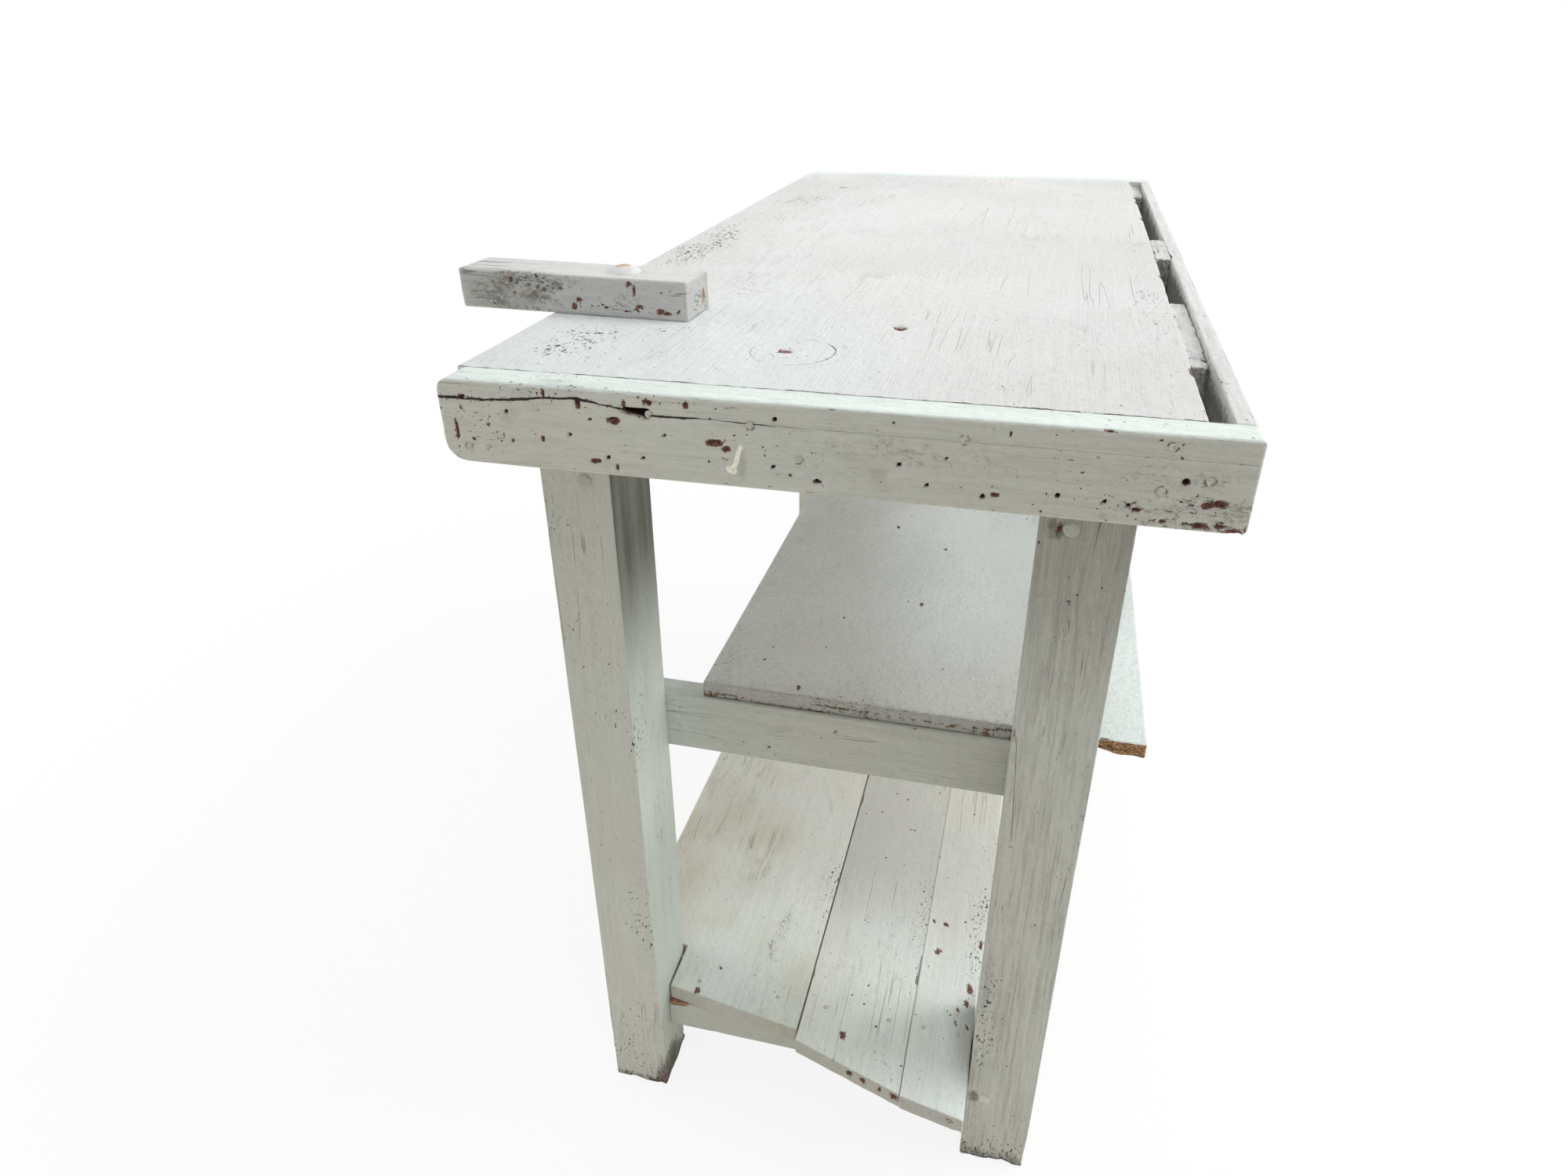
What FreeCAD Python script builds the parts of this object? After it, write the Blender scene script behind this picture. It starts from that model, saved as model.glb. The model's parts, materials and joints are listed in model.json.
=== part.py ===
import FreeCAD, Part
import os
import re
import Sketcher

# An old painted workbench, in millimetres.
# +X points out of the near end, +Y to the back, where the tool slots are, and +Z up.
# The origin is on the floor, in the middle of the whole bench.

doc = FreeCAD.newDocument("workbench")
sheet = doc.addObject("Spreadsheet::Sheet", "sizes")

# Each size is written once. One that starts with = follows from the others.
SIZES = (
    # the whole bench
    ("bench_length", "1160"),
    ("bench_height", "850"),
    ("cut_overrun", "5"),
    # top slab, end caps, back rail and the tool slots between them
    ("slab_width", "500"),
    ("slab_thickness", "46"),
    ("slab_worn_edge", "2.5"),
    ("cap_thickness", "28"),
    ("cap_height", "60"),
    ("cap_proud", "1.5"),
    ("cap_low_corner", "15"),
    ("cap_top_corner", "5"),
    ("slot_width", "15"),
    ("back_rail_thickness", "12"),
    ("back_rail_height", "58"),
    ("slot_near_length", "138"),
    ("slot_middle_length", "169"),
    ("near_spacer_length", "197"),
    ("near_spacer_drop", "4"),
    ("middle_spacer_length", "105"),
    ("far_spacer_length", "102"),
    ("far_spacer_drop", "7"),
    ("spacer_height", "42"),
    # legs
    ("leg_setback", "91"),
    ("leg_depth", "82"),
    ("front_leg_inset", "19.5"),
    ("back_leg_inset", "23"),
    ("front_leg_width", "60"),
    ("back_leg_width", "66"),
    ("leg_worn_edge", "3"),
    ("leg_tenon_length", "22"),
    ("leg_tenon_depth", "42"),
    ("leg_tenon_width", "34"),
    # side rails under the slab and their dowels
    ("side_rail_thickness", "44"),
    ("side_rail_height", "76"),
    ("dowel_diameter", "13"),
    ("dowel_in_rail", "22"),
    ("dowel_proud", "1"),
    ("dowel_low", "14"),
    ("dowel_pitch", "40"),
    # shelf rails and the loose shelf panel
    ("shelf_rail_bottom", "424"),
    ("shelf_rail_height", "63"),
    ("shelf_rail_thickness", "26"),
    ("panel_thickness", "16"),
    ("panel_setback", "4"),
    ("panel_inset", "37.5"),
    ("panel_reach", "51"),
    ("panel_broken_corner", "4"),
    # foot rails and their square pegs
    ("foot_rail_bottom", "76"),
    ("foot_rail_height", "37"),
    ("foot_rail_thickness", "36"),
    ("foot_rail_setback", "24"),
    ("foot_tenon_length", "40"),
    ("foot_tenon_thickness", "14"),
    ("foot_tenon_shoulder", "4"),
    ("peg_side", "11"),
    ("peg_inset", "18"),
    ("peg_above_bottom", "22"),
    ("peg_proud", "1.5"),
    # floor planks on the foot rails
    ("plank_thickness", "20"),
    ("plank_two_width", "114"),
    ("plank_three_width", "61"),
    ("plank_gap", "1.5"),
    ("plank_leg_gap", "3.5"),
    ("plank_one_proud", "7"),
    ("notch_side_gap", "3.5"),
    ("notch_end_gap", "13"),
    # how far each plank end runs out past the face of its foot rail, front and back edge
    ("one_near_front", "-15"),
    ("one_near_back", "17"),
    ("two_near_front", "29"),
    ("two_near_back", "65"),
    ("three_near_front", "66"),
    ("three_near_back", "78"),
    ("one_far_front", "-9"),
    ("one_far_back", "6"),
    ("two_far_front", "18"),
    ("two_far_back", "22"),
    ("three_far_front", "35"),
    ("three_far_back", "31"),
    # turning stop block and its carriage bolt
    ("stop_width", "50"),
    ("stop_height", "32"),
    ("stop_front_length", "141.8"),
    ("stop_back_length", "64"),
    ("stop_worn_corner", "5"),
    ("stop_angle", "-2.5"),
    ("pivot_setback", "205"),
    ("bolt_diameter", "12"),
    ("bolt_clearance", "0.1"),
    ("bolt_end", "6"),
    ("head_diameter", "28"),
    ("head_height", "5.5"),
    ("neck_side", "13"),
    ("neck_depth", "7"),
    ("washer_diameter", "32"),
    ("washer_thickness", "2.5"),
    ("nut_width", "19"),
    ("nut_height", "10"),
    # nails
    ("nail_diameter", "3.4"),
    ("nail_head_diameter", "7"),
    ("nail_head_thickness", "1.2"),
    ("cap_nail_length", "70"),
    ("shelf_nail_length", "60"),
    ("shelf_nail_inset", "18"),
    ("plank_nail_length", "45"),
    ("back_nail_length", "24"),
    ("back_nail_drop", "18"),
    # bent nail that is used as a hook
    ("hook_drop", "31"),
    ("hook_in_wood", "45"),
    ("hook_out", "6"),
    ("hook_bend", "4"),
    ("hook_hang", "14"),
    # heights that follow
    ("slab_bottom", "=bench_height - slab_thickness"),
    ("shelf_top", "=shelf_rail_bottom + shelf_rail_height"),
    ("foot_rail_top", "=foot_rail_bottom + foot_rail_height"),
    ("side_rail_bottom", "=slab_bottom - side_rail_height"),
    ("dowel_height", "=side_rail_bottom + dowel_low"),
    ("peg_height", "=foot_rail_bottom + peg_above_bottom"),
    # places along X that follow
    ("near_face", "=bench_length / 2"),
    ("near_cap_inner", "=near_face - cap_thickness"),
    ("slab_length", "=bench_length - 2 * cap_thickness"),
    ("leg_face", "=near_face - leg_setback"),
    ("leg_back", "=leg_face - leg_depth"),
    ("side_rail_length", "=2 * leg_back"),
    ("shelf_rail_inner", "=leg_back - shelf_rail_thickness"),
    ("panel_end", "=leg_back - panel_setback"),
    ("foot_rail_face", "=leg_face - foot_rail_setback"),
    ("foot_rail_inner", "=foot_rail_face - foot_rail_thickness"),
    ("foot_rail_middle", "=foot_rail_face - foot_rail_thickness / 2"),
    ("foot_tenon_side", "=(foot_rail_thickness - foot_tenon_thickness) / 2"),
    ("notch_end", "=leg_back - notch_end_gap"),
    ("near_spacer_x", "=near_cap_inner - slot_near_length - near_spacer_length"),
    ("middle_spacer_x", "=near_spacer_x - slot_middle_length - middle_spacer_length"),
    ("pivot_x", "=near_face - pivot_setback"),
    # places along Y that follow
    ("bench_depth", "=slab_width + slot_width + back_rail_thickness"),
    ("front_leg_reach", "=front_leg_inset + front_leg_width"),
    ("back_leg_reach", "=back_leg_inset + back_leg_width"),
    ("leg_gap", "=slab_width - front_leg_reach - back_leg_reach"),
    ("pivot_inset", "=front_leg_reach - side_rail_thickness / 2"),
    ("stop_back_share", "=sin(abs(stop_angle)) / 2"),
    ("stop_reach", "=stop_front_length * cos(stop_angle) + stop_width * stop_back_share - pivot_inset"),
    ("slab_front", "=(stop_reach - bench_depth - cap_proud) / 2"),
    ("slot_front", "=slab_front + slab_width"),
    ("rail_front", "=slot_front + slot_width"),
    ("bench_back", "=slab_front + bench_depth"),
    ("front_leg_outer", "=slab_front + front_leg_inset"),
    ("front_leg_inner", "=front_leg_outer + front_leg_width"),
    ("back_leg_inner", "=front_leg_inner + leg_gap"),
    ("back_leg_outer", "=back_leg_inner + back_leg_width"),
    ("frame_width", "=back_leg_outer - front_leg_outer"),
    ("panel_front", "=front_leg_inner + panel_inset"),
    ("panel_width", "=back_leg_outer + panel_reach - panel_front"),
    ("plank_one_front", "=front_leg_outer - plank_one_proud"),
    ("plank_three_front", "=back_leg_inner - plank_leg_gap - plank_three_width"),
    ("plank_two_front", "=plank_three_front - plank_gap - plank_two_width"),
    ("plank_one_width", "=plank_two_front - plank_gap - plank_one_front"),
    ("notch_side", "=front_leg_inner + notch_side_gap - plank_one_front"),
    ("pivot_y", "=slab_front + pivot_inset"),
    # the carriage bolt's parts that follow
    ("head_radius", "=head_diameter / 2"),
    ("dome_radius", "=(head_radius * head_radius + head_height * head_height) / (2 * head_height)"),
    ("stop_top", "=bench_height + stop_height"),
    ("under_length", "=washer_thickness + nut_height + bolt_end"),
    ("grip_length", "=slab_thickness + side_rail_height"),
    ("shank_length", "=stop_height + grip_length + under_length"),
    ("bolt_hole_radius", "=bolt_diameter / 2 + bolt_clearance"),
)

# Where nails stand, as shares of what carries them.
CAP_NAIL_ACROSS_SHARES = (0.086, 0.306, 0.508, 0.716, 0.788, 0.956)
CAP_NAIL_UP_SHARES = (0.25, 0.65, 0.3, 0.65, 0.4, 0.8)
HOOK_ACROSS_SHARE = 0.428
SHELF_NAIL_UP_SHARES = (0.3, 0.75)
PLANK_NAIL_ACROSS_SHARES = (0.2, 0.8)
BACK_NAIL_ALONG_SHARES = (0.25, 0.75)

# Turns that stand a piece made along +Z on another axis.
TO_PLUS_X = FreeCAD.Rotation(FreeCAD.Vector(0, 1, 0), 90)
TO_MINUS_X = FreeCAD.Rotation(FreeCAD.Vector(0, 1, 0), -90)
TO_PLUS_Y = FreeCAD.Rotation(FreeCAD.Vector(1, 0, 0), -90)
NO_TURN = FreeCAD.Rotation()

for row, (alias, text) in enumerate(SIZES, start=1):
    sheet.set("A%d" % row, alias)
    sheet.set("B%d" % row, text)
    sheet.setAlias("B%d" % row, alias)
doc.recompute()

sub_parts = []


def on_sheet(text):
    """The same sum with each name looked up on the sheet."""
    return re.sub(r"[a-z]\w*", lambda word: "sizes." + word.group(0), text)


def bind(thing, **sums):
    for prop, text in sums.items():
        thing.setExpression(prop.replace("__", "."), on_sheet(text))


def place(thing, corner, turn=NO_TURN):
    thing.Placement = FreeCAD.Placement(FreeCAD.Vector(0, 0, 0), turn)
    for axis, text in zip("xyz", corner):
        thing.setExpression("Placement.Base." + axis, on_sheet(text))
    return thing


def keep(thing, name):
    """Names a finished sub-part. Its file gets the same name."""
    thing.Label = name
    sub_parts.append(thing)
    return thing


def body(name):
    return doc.addObject("PartDesign::Body", name)


def origin_plane(owner, role):
    for feature in owner.Origin.OriginFeatures:
        if feature.Role == role:
            return feature


def sketch_on(owner, role, offset="0"):
    sketch = owner.newObject("Sketcher::SketchObject", owner.Name + "_sketch")
    sketch.AttachmentSupport = [(origin_plane(owner, role), "")]
    sketch.MapMode = "FlatFace"
    if offset != "0":
        sketch.setExpression("AttachmentOffset.Base.z", on_sheet(offset))
    return sketch


def draw_loop(sketch, corners):
    """A closed outline whose corners are sums of named sizes, from the sketch's origin."""
    count = len(corners)
    ring = Part.makeCircle(count).discretize(count + 1)
    first = sketch.GeometryCount
    for index in range(count):
        sketch.addGeometry(Part.LineSegment(ring[index], ring[index + 1]))
    for index in range(count):
        follower = first + (index + 1) % count
        sketch.addConstraint(Sketcher.Constraint("Coincident", first + index, 2, follower, 1))
    for index, pair in enumerate(corners):
        for kind, axis, text in (("DistanceX", -2, pair[0]), ("DistanceY", -1, pair[1])):
            if text == "0":
                sketch.addConstraint(Sketcher.Constraint("PointOnObject", first + index, 1, axis))
                continue
            start = ring[index].x if kind == "DistanceX" else ring[index].y
            made = sketch.addConstraint(Sketcher.Constraint(kind, -1, 1, first + index, 1, start))
            sketch.setExpression("Constraints[%d]" % made, on_sheet(text))


def pad(owner, role, corners, depth, offset="0"):
    sketch = sketch_on(owner, role, offset)
    draw_loop(sketch, corners)
    made = owner.newObject("PartDesign::Pad", owner.Name + "_pad")
    made.Profile = sketch
    bind(made, Length=depth)
    return made


def rectangle(wide, high, left="0", low="0"):
    right = wide if left == "0" else "%s + %s" % (left, wide)
    top = high if low == "0" else "%s + %s" % (low, high)
    return ((left, low), (right, low), (right, top), (left, top))


def worn_rectangle(wide, high, worn):
    """A rectangle with its four corners taken off by the worn size."""
    across = "%s - %s" % (wide, worn)
    up = "%s - %s" % (high, worn)
    return ((worn, "0"), (across, "0"), (wide, worn), (wide, up),
            (across, high), (worn, high), ("0", up), ("0", worn))


def cylinder(name, radius, height, corner, turn=NO_TURN):
    made = doc.addObject("Part::Cylinder", name)
    bind(made, Radius=radius, Height=height)
    return place(made, corner, turn)


def box(name, sides, corner, turn=NO_TURN):
    made = doc.addObject("Part::Box", name)
    bind(made, Length=sides[0], Width=sides[1], Height=sides[2])
    return place(made, corner, turn)


def group(name, pieces):
    made = doc.addObject("Part::Compound", name)
    made.Links = pieces
    return made


def cut(name, blank, tools):
    made = doc.addObject("Part::Cut", name + "_cut")
    made.Base = blank
    made.Tool = tools[0] if len(tools) == 1 else group(name + "_tools", tools)
    return keep(made, name)


def nail(name, length, corner, turn):
    """A nail whose head's outer face lies at the corner and whose point is behind it."""
    shank = cylinder(name + "_shank", "nail_diameter / 2", length, ("0", "0", "-" + length))
    head_place = ("0", "0", "-nail_head_thickness")
    head = cylinder(name + "_head", "nail_head_diameter / 2", "nail_head_thickness", head_place)
    made = doc.addObject("Part::Fuse", name)
    made.Base = shank
    made.Tool = head
    return place(made, corner, turn)


def share_of(size, share):
    return "%s * %s" % (size, share)


# the two ends of the bench: name, sign along X and the turn of a nail that faces outward there
ENDS = (("near", "", TO_PLUS_X, TO_MINUS_X), ("far", "-", TO_MINUS_X, TO_PLUS_X))


def make_cap_nails():
    nails = []
    for end, sign, outward, _ in ENDS:
        places = zip(CAP_NAIL_ACROSS_SHARES, CAP_NAIL_UP_SHARES)
        for index, (across, up) in enumerate(places):
            spot = (sign + "near_face",
                    "slab_front + " + share_of("slab_width", across),
                    "slab_bottom + " + share_of("slab_thickness", up))
            nails.append(nail("%s_cap_nail_%d" % (end, index), "cap_nail_length", spot, outward))
    return keep(group("cap_nails_group", nails), "cap_nails")


def make_back_nails():
    nails = []
    spacers = (("near_spacer_x", "near_spacer_length"),
               ("middle_spacer_x", "middle_spacer_length"),
               ("-near_cap_inner", "far_spacer_length"))
    for number, (start, length) in enumerate(spacers):
        for index, share in enumerate(BACK_NAIL_ALONG_SHARES):
            spot = ("%s + %s" % (start, share_of(length, share)), "bench_back",
                    "bench_height - back_nail_drop")
            name = "back_nail_%d_%d" % (number, index)
            nails.append(nail(name, "back_nail_length", spot, TO_PLUS_Y))
    return keep(group("back_nails_group", nails), "back_rail_nails")


def make_shelf_nails():
    nails = []
    sides = ("front_leg_outer + shelf_nail_inset", "back_leg_outer - shelf_nail_inset")
    for end, sign, _, inward in ENDS:
        for number, side in enumerate(sides):
            for index, share in enumerate(SHELF_NAIL_UP_SHARES):
                up = "shelf_rail_bottom + " + share_of("shelf_rail_height", share)
                name = "%s_shelf_nail_%d_%d" % (end, number, index)
                spot = (sign + "shelf_rail_inner", side, up)
                nails.append(nail(name, "shelf_nail_length", spot, inward))
    return keep(group("shelf_nails_group", nails), "shelf_rail_nails")


def make_plank_nails():
    nails = []
    planks = (("notch_side + plank_one_front", "plank_one_width - notch_side"),
              ("plank_two_front", "plank_two_width"),
              ("plank_three_front", "plank_three_width"))
    for end, sign, _, _ in ENDS:
        for number, (start, width) in enumerate(planks):
            for index, share in enumerate(PLANK_NAIL_ACROSS_SHARES):
                across = "%s + (%s) * %s" % (start, width, share)
                name = "%s_plank_nail_%d_%d" % (end, number, index)
                spot = (sign + "foot_rail_middle", across, "foot_rail_top + plank_thickness")
                nails.append(nail(name, "plank_nail_length", spot, NO_TURN))
    return keep(group("plank_nails_group", nails), "plank_nails")


def make_hook_nail():
    """A nail left standing out of the near cap and bent down, with its head at the low end."""
    radius = "nail_diameter / 2"
    height = "bench_height - hook_drop"
    across = "slab_front + " + share_of("slab_width", HOOK_ACROSS_SHARE)
    straight = cylinder("hook_straight", radius, "hook_in_wood + hook_out",
                        ("near_face - hook_in_wood", across, height), TO_PLUS_X)
    bend = doc.addObject("Part::Torus", "hook_bend_piece")
    bind(bend, Radius1="hook_bend", Radius2=radius)
    bend.Angle3 = 90
    place(bend, ("near_face + hook_out", across, height + " - hook_bend"),
          FreeCAD.Rotation(FreeCAD.Vector(1, 0, 0), 90))
    low = height + " - hook_bend - hook_hang"
    hanging = cylinder("hook_hanging", radius, "hook_hang",
                       ("near_face + hook_out + hook_bend", across, low))
    head = cylinder("hook_head", "nail_head_diameter / 2", "nail_head_thickness",
                    ("near_face + hook_out + hook_bend", across, low + " - nail_head_thickness"))
    made = doc.addObject("Part::MultiFuse", "hook_nail_piece")
    made.Shapes = [straight, bend, hanging, head]
    return keep(made, "hook_nail")


def leg_sides():
    """Name, outer Y and width of the front and the back leg, and the side rail's Y."""
    return (("front", "front_leg_outer", "front_leg_width",
             "front_leg_inner - side_rail_thickness"),
            ("back", "back_leg_inner", "back_leg_width", "back_leg_inner"))


def make_dowels():
    dowels = []
    length = "dowel_proud + leg_depth + dowel_in_rail"
    for end, sign, outward, _ in ENDS:
        for side, _, _, rail_y in leg_sides():
            for row in (0, 1):
                start = sign + "(leg_back - dowel_in_rail)"
                up = "dowel_height + dowel_pitch * %d" % row
                spot = (start, rail_y + " + side_rail_thickness / 2", up)
                name = "%s_%s_dowel_%d" % (end, side, row)
                dowels.append(cylinder(name, "dowel_diameter / 2", length, spot, outward))
    return keep(group("dowels_group", dowels), "rail_dowels")


def make_foot_pegs():
    pegs = []
    middles = ("front_leg_inner - peg_inset", "back_leg_inner + peg_inset")
    length = "leg_depth + peg_proud"
    for end, start in (("near", "leg_back"), ("far", "-leg_back - " + length)):
        for number, middle in enumerate(middles):
            spot = (start.replace(length, "(%s)" % length), middle + " - peg_side / 2",
                    "peg_height - peg_side / 2")
            pegs.append(box("%s_peg_%d" % (end, number), (length, "peg_side", "peg_side"), spot))
    return keep(group("pegs_group", pegs), "foot_pegs")


def make_pivot_hole():
    """The hole for the carriage bolt, down through the slab and the side rail under it."""
    return cylinder("pivot_hole", "bolt_hole_radius", "grip_length + 2 * cut_overrun",
                    ("pivot_x", "pivot_y", "side_rail_bottom - cut_overrun"))


def make_side_rails(dowels, pivot_hole):
    for side, _, _, rail_y in leg_sides():
        blank = body(side + "_side_rail_blank")
        pad(blank, "YZ_Plane", rectangle("side_rail_thickness", "side_rail_height"),
            "side_rail_length")
        place(blank, ("-leg_back", rail_y, "side_rail_bottom"))
        cut(side + "_side_rail", blank, [dowels, pivot_hole] if side == "front" else [dowels])


def make_foot_rail_blanks():
    """Each foot rail with a tenon at each end, before the pegs are driven through."""
    blanks = []
    for end, start in (("near", "foot_rail_inner"), ("far", "-foot_rail_face")):
        blank = body(end + "_foot_rail_blank")
        pad(blank, "YZ_Plane", rectangle("leg_gap", "foot_rail_height"), "foot_rail_thickness")
        tenon = rectangle("leg_gap + 2 * foot_tenon_length",
                          "foot_rail_height - 2 * foot_tenon_shoulder",
                          "-foot_tenon_length", "foot_tenon_shoulder")
        pad(blank, "YZ_Plane", tenon, "foot_tenon_thickness", "foot_tenon_side")
        blanks.append(place(blank, (start, "front_leg_inner", "foot_rail_bottom")))
    return blanks


def make_shelf_rails(nails):
    for end, start in (("near", "shelf_rail_inner"), ("far", "-leg_back")):
        blank = body(end + "_shelf_rail_blank")
        pad(blank, "YZ_Plane", rectangle("frame_width", "shelf_rail_height"),
            "shelf_rail_thickness")
        place(blank, (start, "front_leg_outer", "shelf_rail_bottom"))
        cut(end + "_shelf_rail", blank, [nails])


def make_legs(tools):
    """Four legs, each with a stub tenon up into the slab, cut for what passes into them."""
    blanks = []
    for end, start in (("near", "leg_back"), ("far", "-leg_face")):
        for side, outer, width, _ in leg_sides():
            blank = body("%s_%s_leg_blank" % (end, side))
            pad(blank, "XY_Plane", worn_rectangle("leg_depth", width, "leg_worn_edge"),
                "slab_bottom")
            tenon = rectangle("leg_tenon_depth", "leg_tenon_width",
                              "(leg_depth - leg_tenon_depth) / 2",
                              "(%s - leg_tenon_width) / 2" % width)
            pad(blank, "XY_Plane", tenon, "leg_tenon_length", "slab_bottom")
            place(blank, (start, outer, "0"))
            cut("%s_%s_leg" % (end, side), blank, tools)
            blanks.append(blank)
    return blanks


def make_slab(leg_blanks, cap_nails, hook, pivot_hole):
    blank = body("slab_blank")
    pad(blank, "YZ_Plane", worn_rectangle("slab_width", "slab_thickness", "slab_worn_edge"),
        "slab_length")
    place(blank, ("-near_cap_inner", "slab_front", "slab_bottom"))
    cut("top_slab", blank, leg_blanks + [cap_nails, hook, pivot_hole])


def make_caps(cap_nails, hook):
    """An end cap covers the end grain of the slab, the spacers and the back rail."""
    wide = "bench_depth + 2 * cap_proud"
    outline = (("cap_low_corner", "0"), (wide + " - cap_low_corner / 2", "0"),
               (wide, "cap_low_corner / 2"), (wide, "cap_height - cap_top_corner"),
               (wide + " - cap_top_corner", "cap_height"), ("cap_top_corner", "cap_height"),
               ("0", "cap_height - cap_top_corner"), ("0", "cap_low_corner"))
    for end, start in (("near", "near_cap_inner"), ("far", "-near_face")):
        blank = body(end + "_cap_blank")
        pad(blank, "YZ_Plane", outline, "cap_thickness")
        place(blank, (start, "slab_front - cap_proud", "bench_height - cap_height"))
        cut(end + "_end_cap", blank, [cap_nails, hook] if end == "near" else [cap_nails])


def make_back_rail(nails):
    blank = body("back_rail_blank")
    pad(blank, "YZ_Plane", rectangle("back_rail_thickness", "back_rail_height"), "slab_length")
    place(blank, ("-near_cap_inner", "rail_front", "bench_height - back_rail_height"))
    cut("back_rail", blank, [nails])


def make_spacers(nails):
    """The blocks that part the tool slots. Two of them lie a little below the top."""
    rows = (("near", "near_spacer_x", "near_spacer_length", " - near_spacer_drop"),
            ("middle", "middle_spacer_x", "middle_spacer_length", ""),
            ("far", "-near_cap_inner", "far_spacer_length", " - far_spacer_drop"))
    for name, start, length, drop in rows:
        blank = body(name + "_spacer_blank")
        pad(blank, "YZ_Plane", rectangle("slot_width", "spacer_height"), length)
        place(blank, (start, "slot_front", "bench_height - spacer_height" + drop))
        cut(name + "_spacer", blank, [nails])


def make_planks(nails):
    """Three floor planks, cut askew at both ends. The first is notched round the front legs."""
    middle_one = (("notch_side", "foot_rail_face + one_near_front"),
                  ("plank_one_width", "foot_rail_face + one_near_back"),
                  ("plank_one_width", "-foot_rail_face - one_far_back"),
                  ("notch_side", "-foot_rail_face - one_far_front"),
                  ("notch_side", "-notch_end"), ("0", "-notch_end"),
                  ("0", "notch_end"), ("notch_side", "notch_end"))
    outlines = [("one", "plank_one_front", middle_one)]
    for name in ("two", "three"):
        wide = "plank_%s_width" % name
        outline = (("0", "foot_rail_face + %s_near_front" % name),
                   (wide, "foot_rail_face + %s_near_back" % name),
                   (wide, "-foot_rail_face - %s_far_back" % name),
                   ("0", "-foot_rail_face - %s_far_front" % name))
        outlines.append((name, "plank_%s_front" % name, outline))
    for name, start, outline in outlines:
        blank = body("plank_%s_blank" % name)
        along = tuple((x, y) for y, x in outline)
        pad(blank, "XY_Plane", along, "plank_thickness")
        place(blank, ("0", start, "foot_rail_top"))
        cut("floor_plank_" + name, blank, [nails])


def make_shelf_panel():
    """The loose chipboard shelf, with its near back corner broken away."""
    blank = body("shelf_panel_body")
    whole = "2 * panel_end"
    outline = (("0", "0"), (whole, "0"), (whole, "panel_width - panel_broken_corner"),
               (whole + " - panel_broken_corner", "panel_width"), ("0", "panel_width"))
    pad(blank, "XY_Plane", outline, "panel_thickness")
    place(blank, ("-panel_end", "panel_front", "shelf_top"))
    keep(blank, "shelf_panel")


def turned(thing):
    """Turns a piece of the stop about the pivot, as far as the stop stands askew."""
    thing.Placement = FreeCAD.Placement(thing.Placement.Base, NO_TURN)
    thing.setExpression("Placement.Rotation.Angle", on_sheet("stop_angle"))
    return thing


def make_stop():
    blank = body("stop_blank")
    half = "stop_width / 2"
    worn = "stop_worn_corner"
    outline = (("-" + half, "-stop_front_length + " + worn),
               ("-" + half + " + " + worn, "-stop_front_length"),
               (half + " - " + worn + " / 2", "-stop_front_length"),
               (half, "-stop_front_length + " + worn + " / 2"),
               (half, "stop_back_length"),
               ("-" + half, "stop_back_length"))
    pad(blank, "XY_Plane", outline, "stop_height")
    place(blank, ("pivot_x", "pivot_y", "bench_height"))
    turned(blank)
    hole = cylinder("stop_hole", "bolt_hole_radius", "stop_height + 2 * cut_overrun",
                    ("pivot_x", "pivot_y", "bench_height - cut_overrun"))
    seat = cylinder("neck_seat", "neck_side / 2", "neck_depth",
                    ("pivot_x", "pivot_y", "stop_top - neck_depth"))
    cut("stop_block", blank, [hole, seat])


def make_bolt():
    """A carriage bolt: domed head on the stop, round neck in it, shank through the rail."""
    shank = cylinder("bolt_shank", "bolt_diameter / 2", "shank_length",
                     ("pivot_x", "pivot_y", "side_rail_bottom - under_length"))
    neck = cylinder("bolt_neck", "neck_side / 2", "neck_depth",
                    ("pivot_x", "pivot_y", "stop_top - neck_depth"))
    ball = doc.addObject("Part::Sphere", "bolt_ball")
    bind(ball, Radius="dome_radius")
    place(ball, ("pivot_x", "pivot_y", "stop_top + head_height - dome_radius"))
    above = cylinder("bolt_above", "head_radius", "head_height",
                     ("pivot_x", "pivot_y", "stop_top"))
    dome = doc.addObject("Part::Common", "bolt_dome")
    dome.Base = ball
    dome.Tool = above
    made = doc.addObject("Part::MultiFuse", "bolt_piece")
    made.Shapes = [shank, neck, dome]
    keep(made, "pivot_bolt")


def make_washer_and_nut():
    washer = cylinder("washer_disc", "washer_diameter / 2", "washer_thickness",
                      ("pivot_x", "pivot_y", "side_rail_bottom - washer_thickness"))
    low = "side_rail_bottom - washer_thickness - nut_height"
    bore = cylinder("washer_bore", "bolt_hole_radius", "under_length + 2 * cut_overrun",
                    ("pivot_x", "pivot_y", "side_rail_bottom - under_length - cut_overrun"))
    cut("pivot_washer", washer, [bore])
    nut = doc.addObject("Part::Prism", "nut_prism")
    nut.Polygon = 6
    nut.setExpression("Circumradius", on_sheet("nut_width") + " / sqrt(3)")
    bind(nut, Height="nut_height")
    place(nut, ("pivot_x", "pivot_y", low))
    cut("pivot_nut", nut, [bore])


cap_nails = make_cap_nails()
back_nails = make_back_nails()
shelf_nails = make_shelf_nails()
plank_nails = make_plank_nails()
hook_nail = make_hook_nail()
rail_dowels = make_dowels()
foot_pegs = make_foot_pegs()
foot_rail_blanks = make_foot_rail_blanks()
for foot_rail_name, foot_rail_blank in zip(("near_foot_rail", "far_foot_rail"), foot_rail_blanks):
    cut(foot_rail_name, foot_rail_blank, [foot_pegs, plank_nails])
legs = make_legs(foot_rail_blanks + [foot_pegs, rail_dowels, shelf_nails])
pivot_hole = make_pivot_hole()
make_side_rails(rail_dowels, pivot_hole)
make_shelf_rails(shelf_nails)
make_slab(legs, cap_nails, hook_nail, pivot_hole)
make_caps(cap_nails, hook_nail)
make_back_rail(back_nails)
make_spacers(back_nails)
make_planks(plank_nails)
make_shelf_panel()
make_stop()
make_bolt()
make_washer_and_nut()
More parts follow.
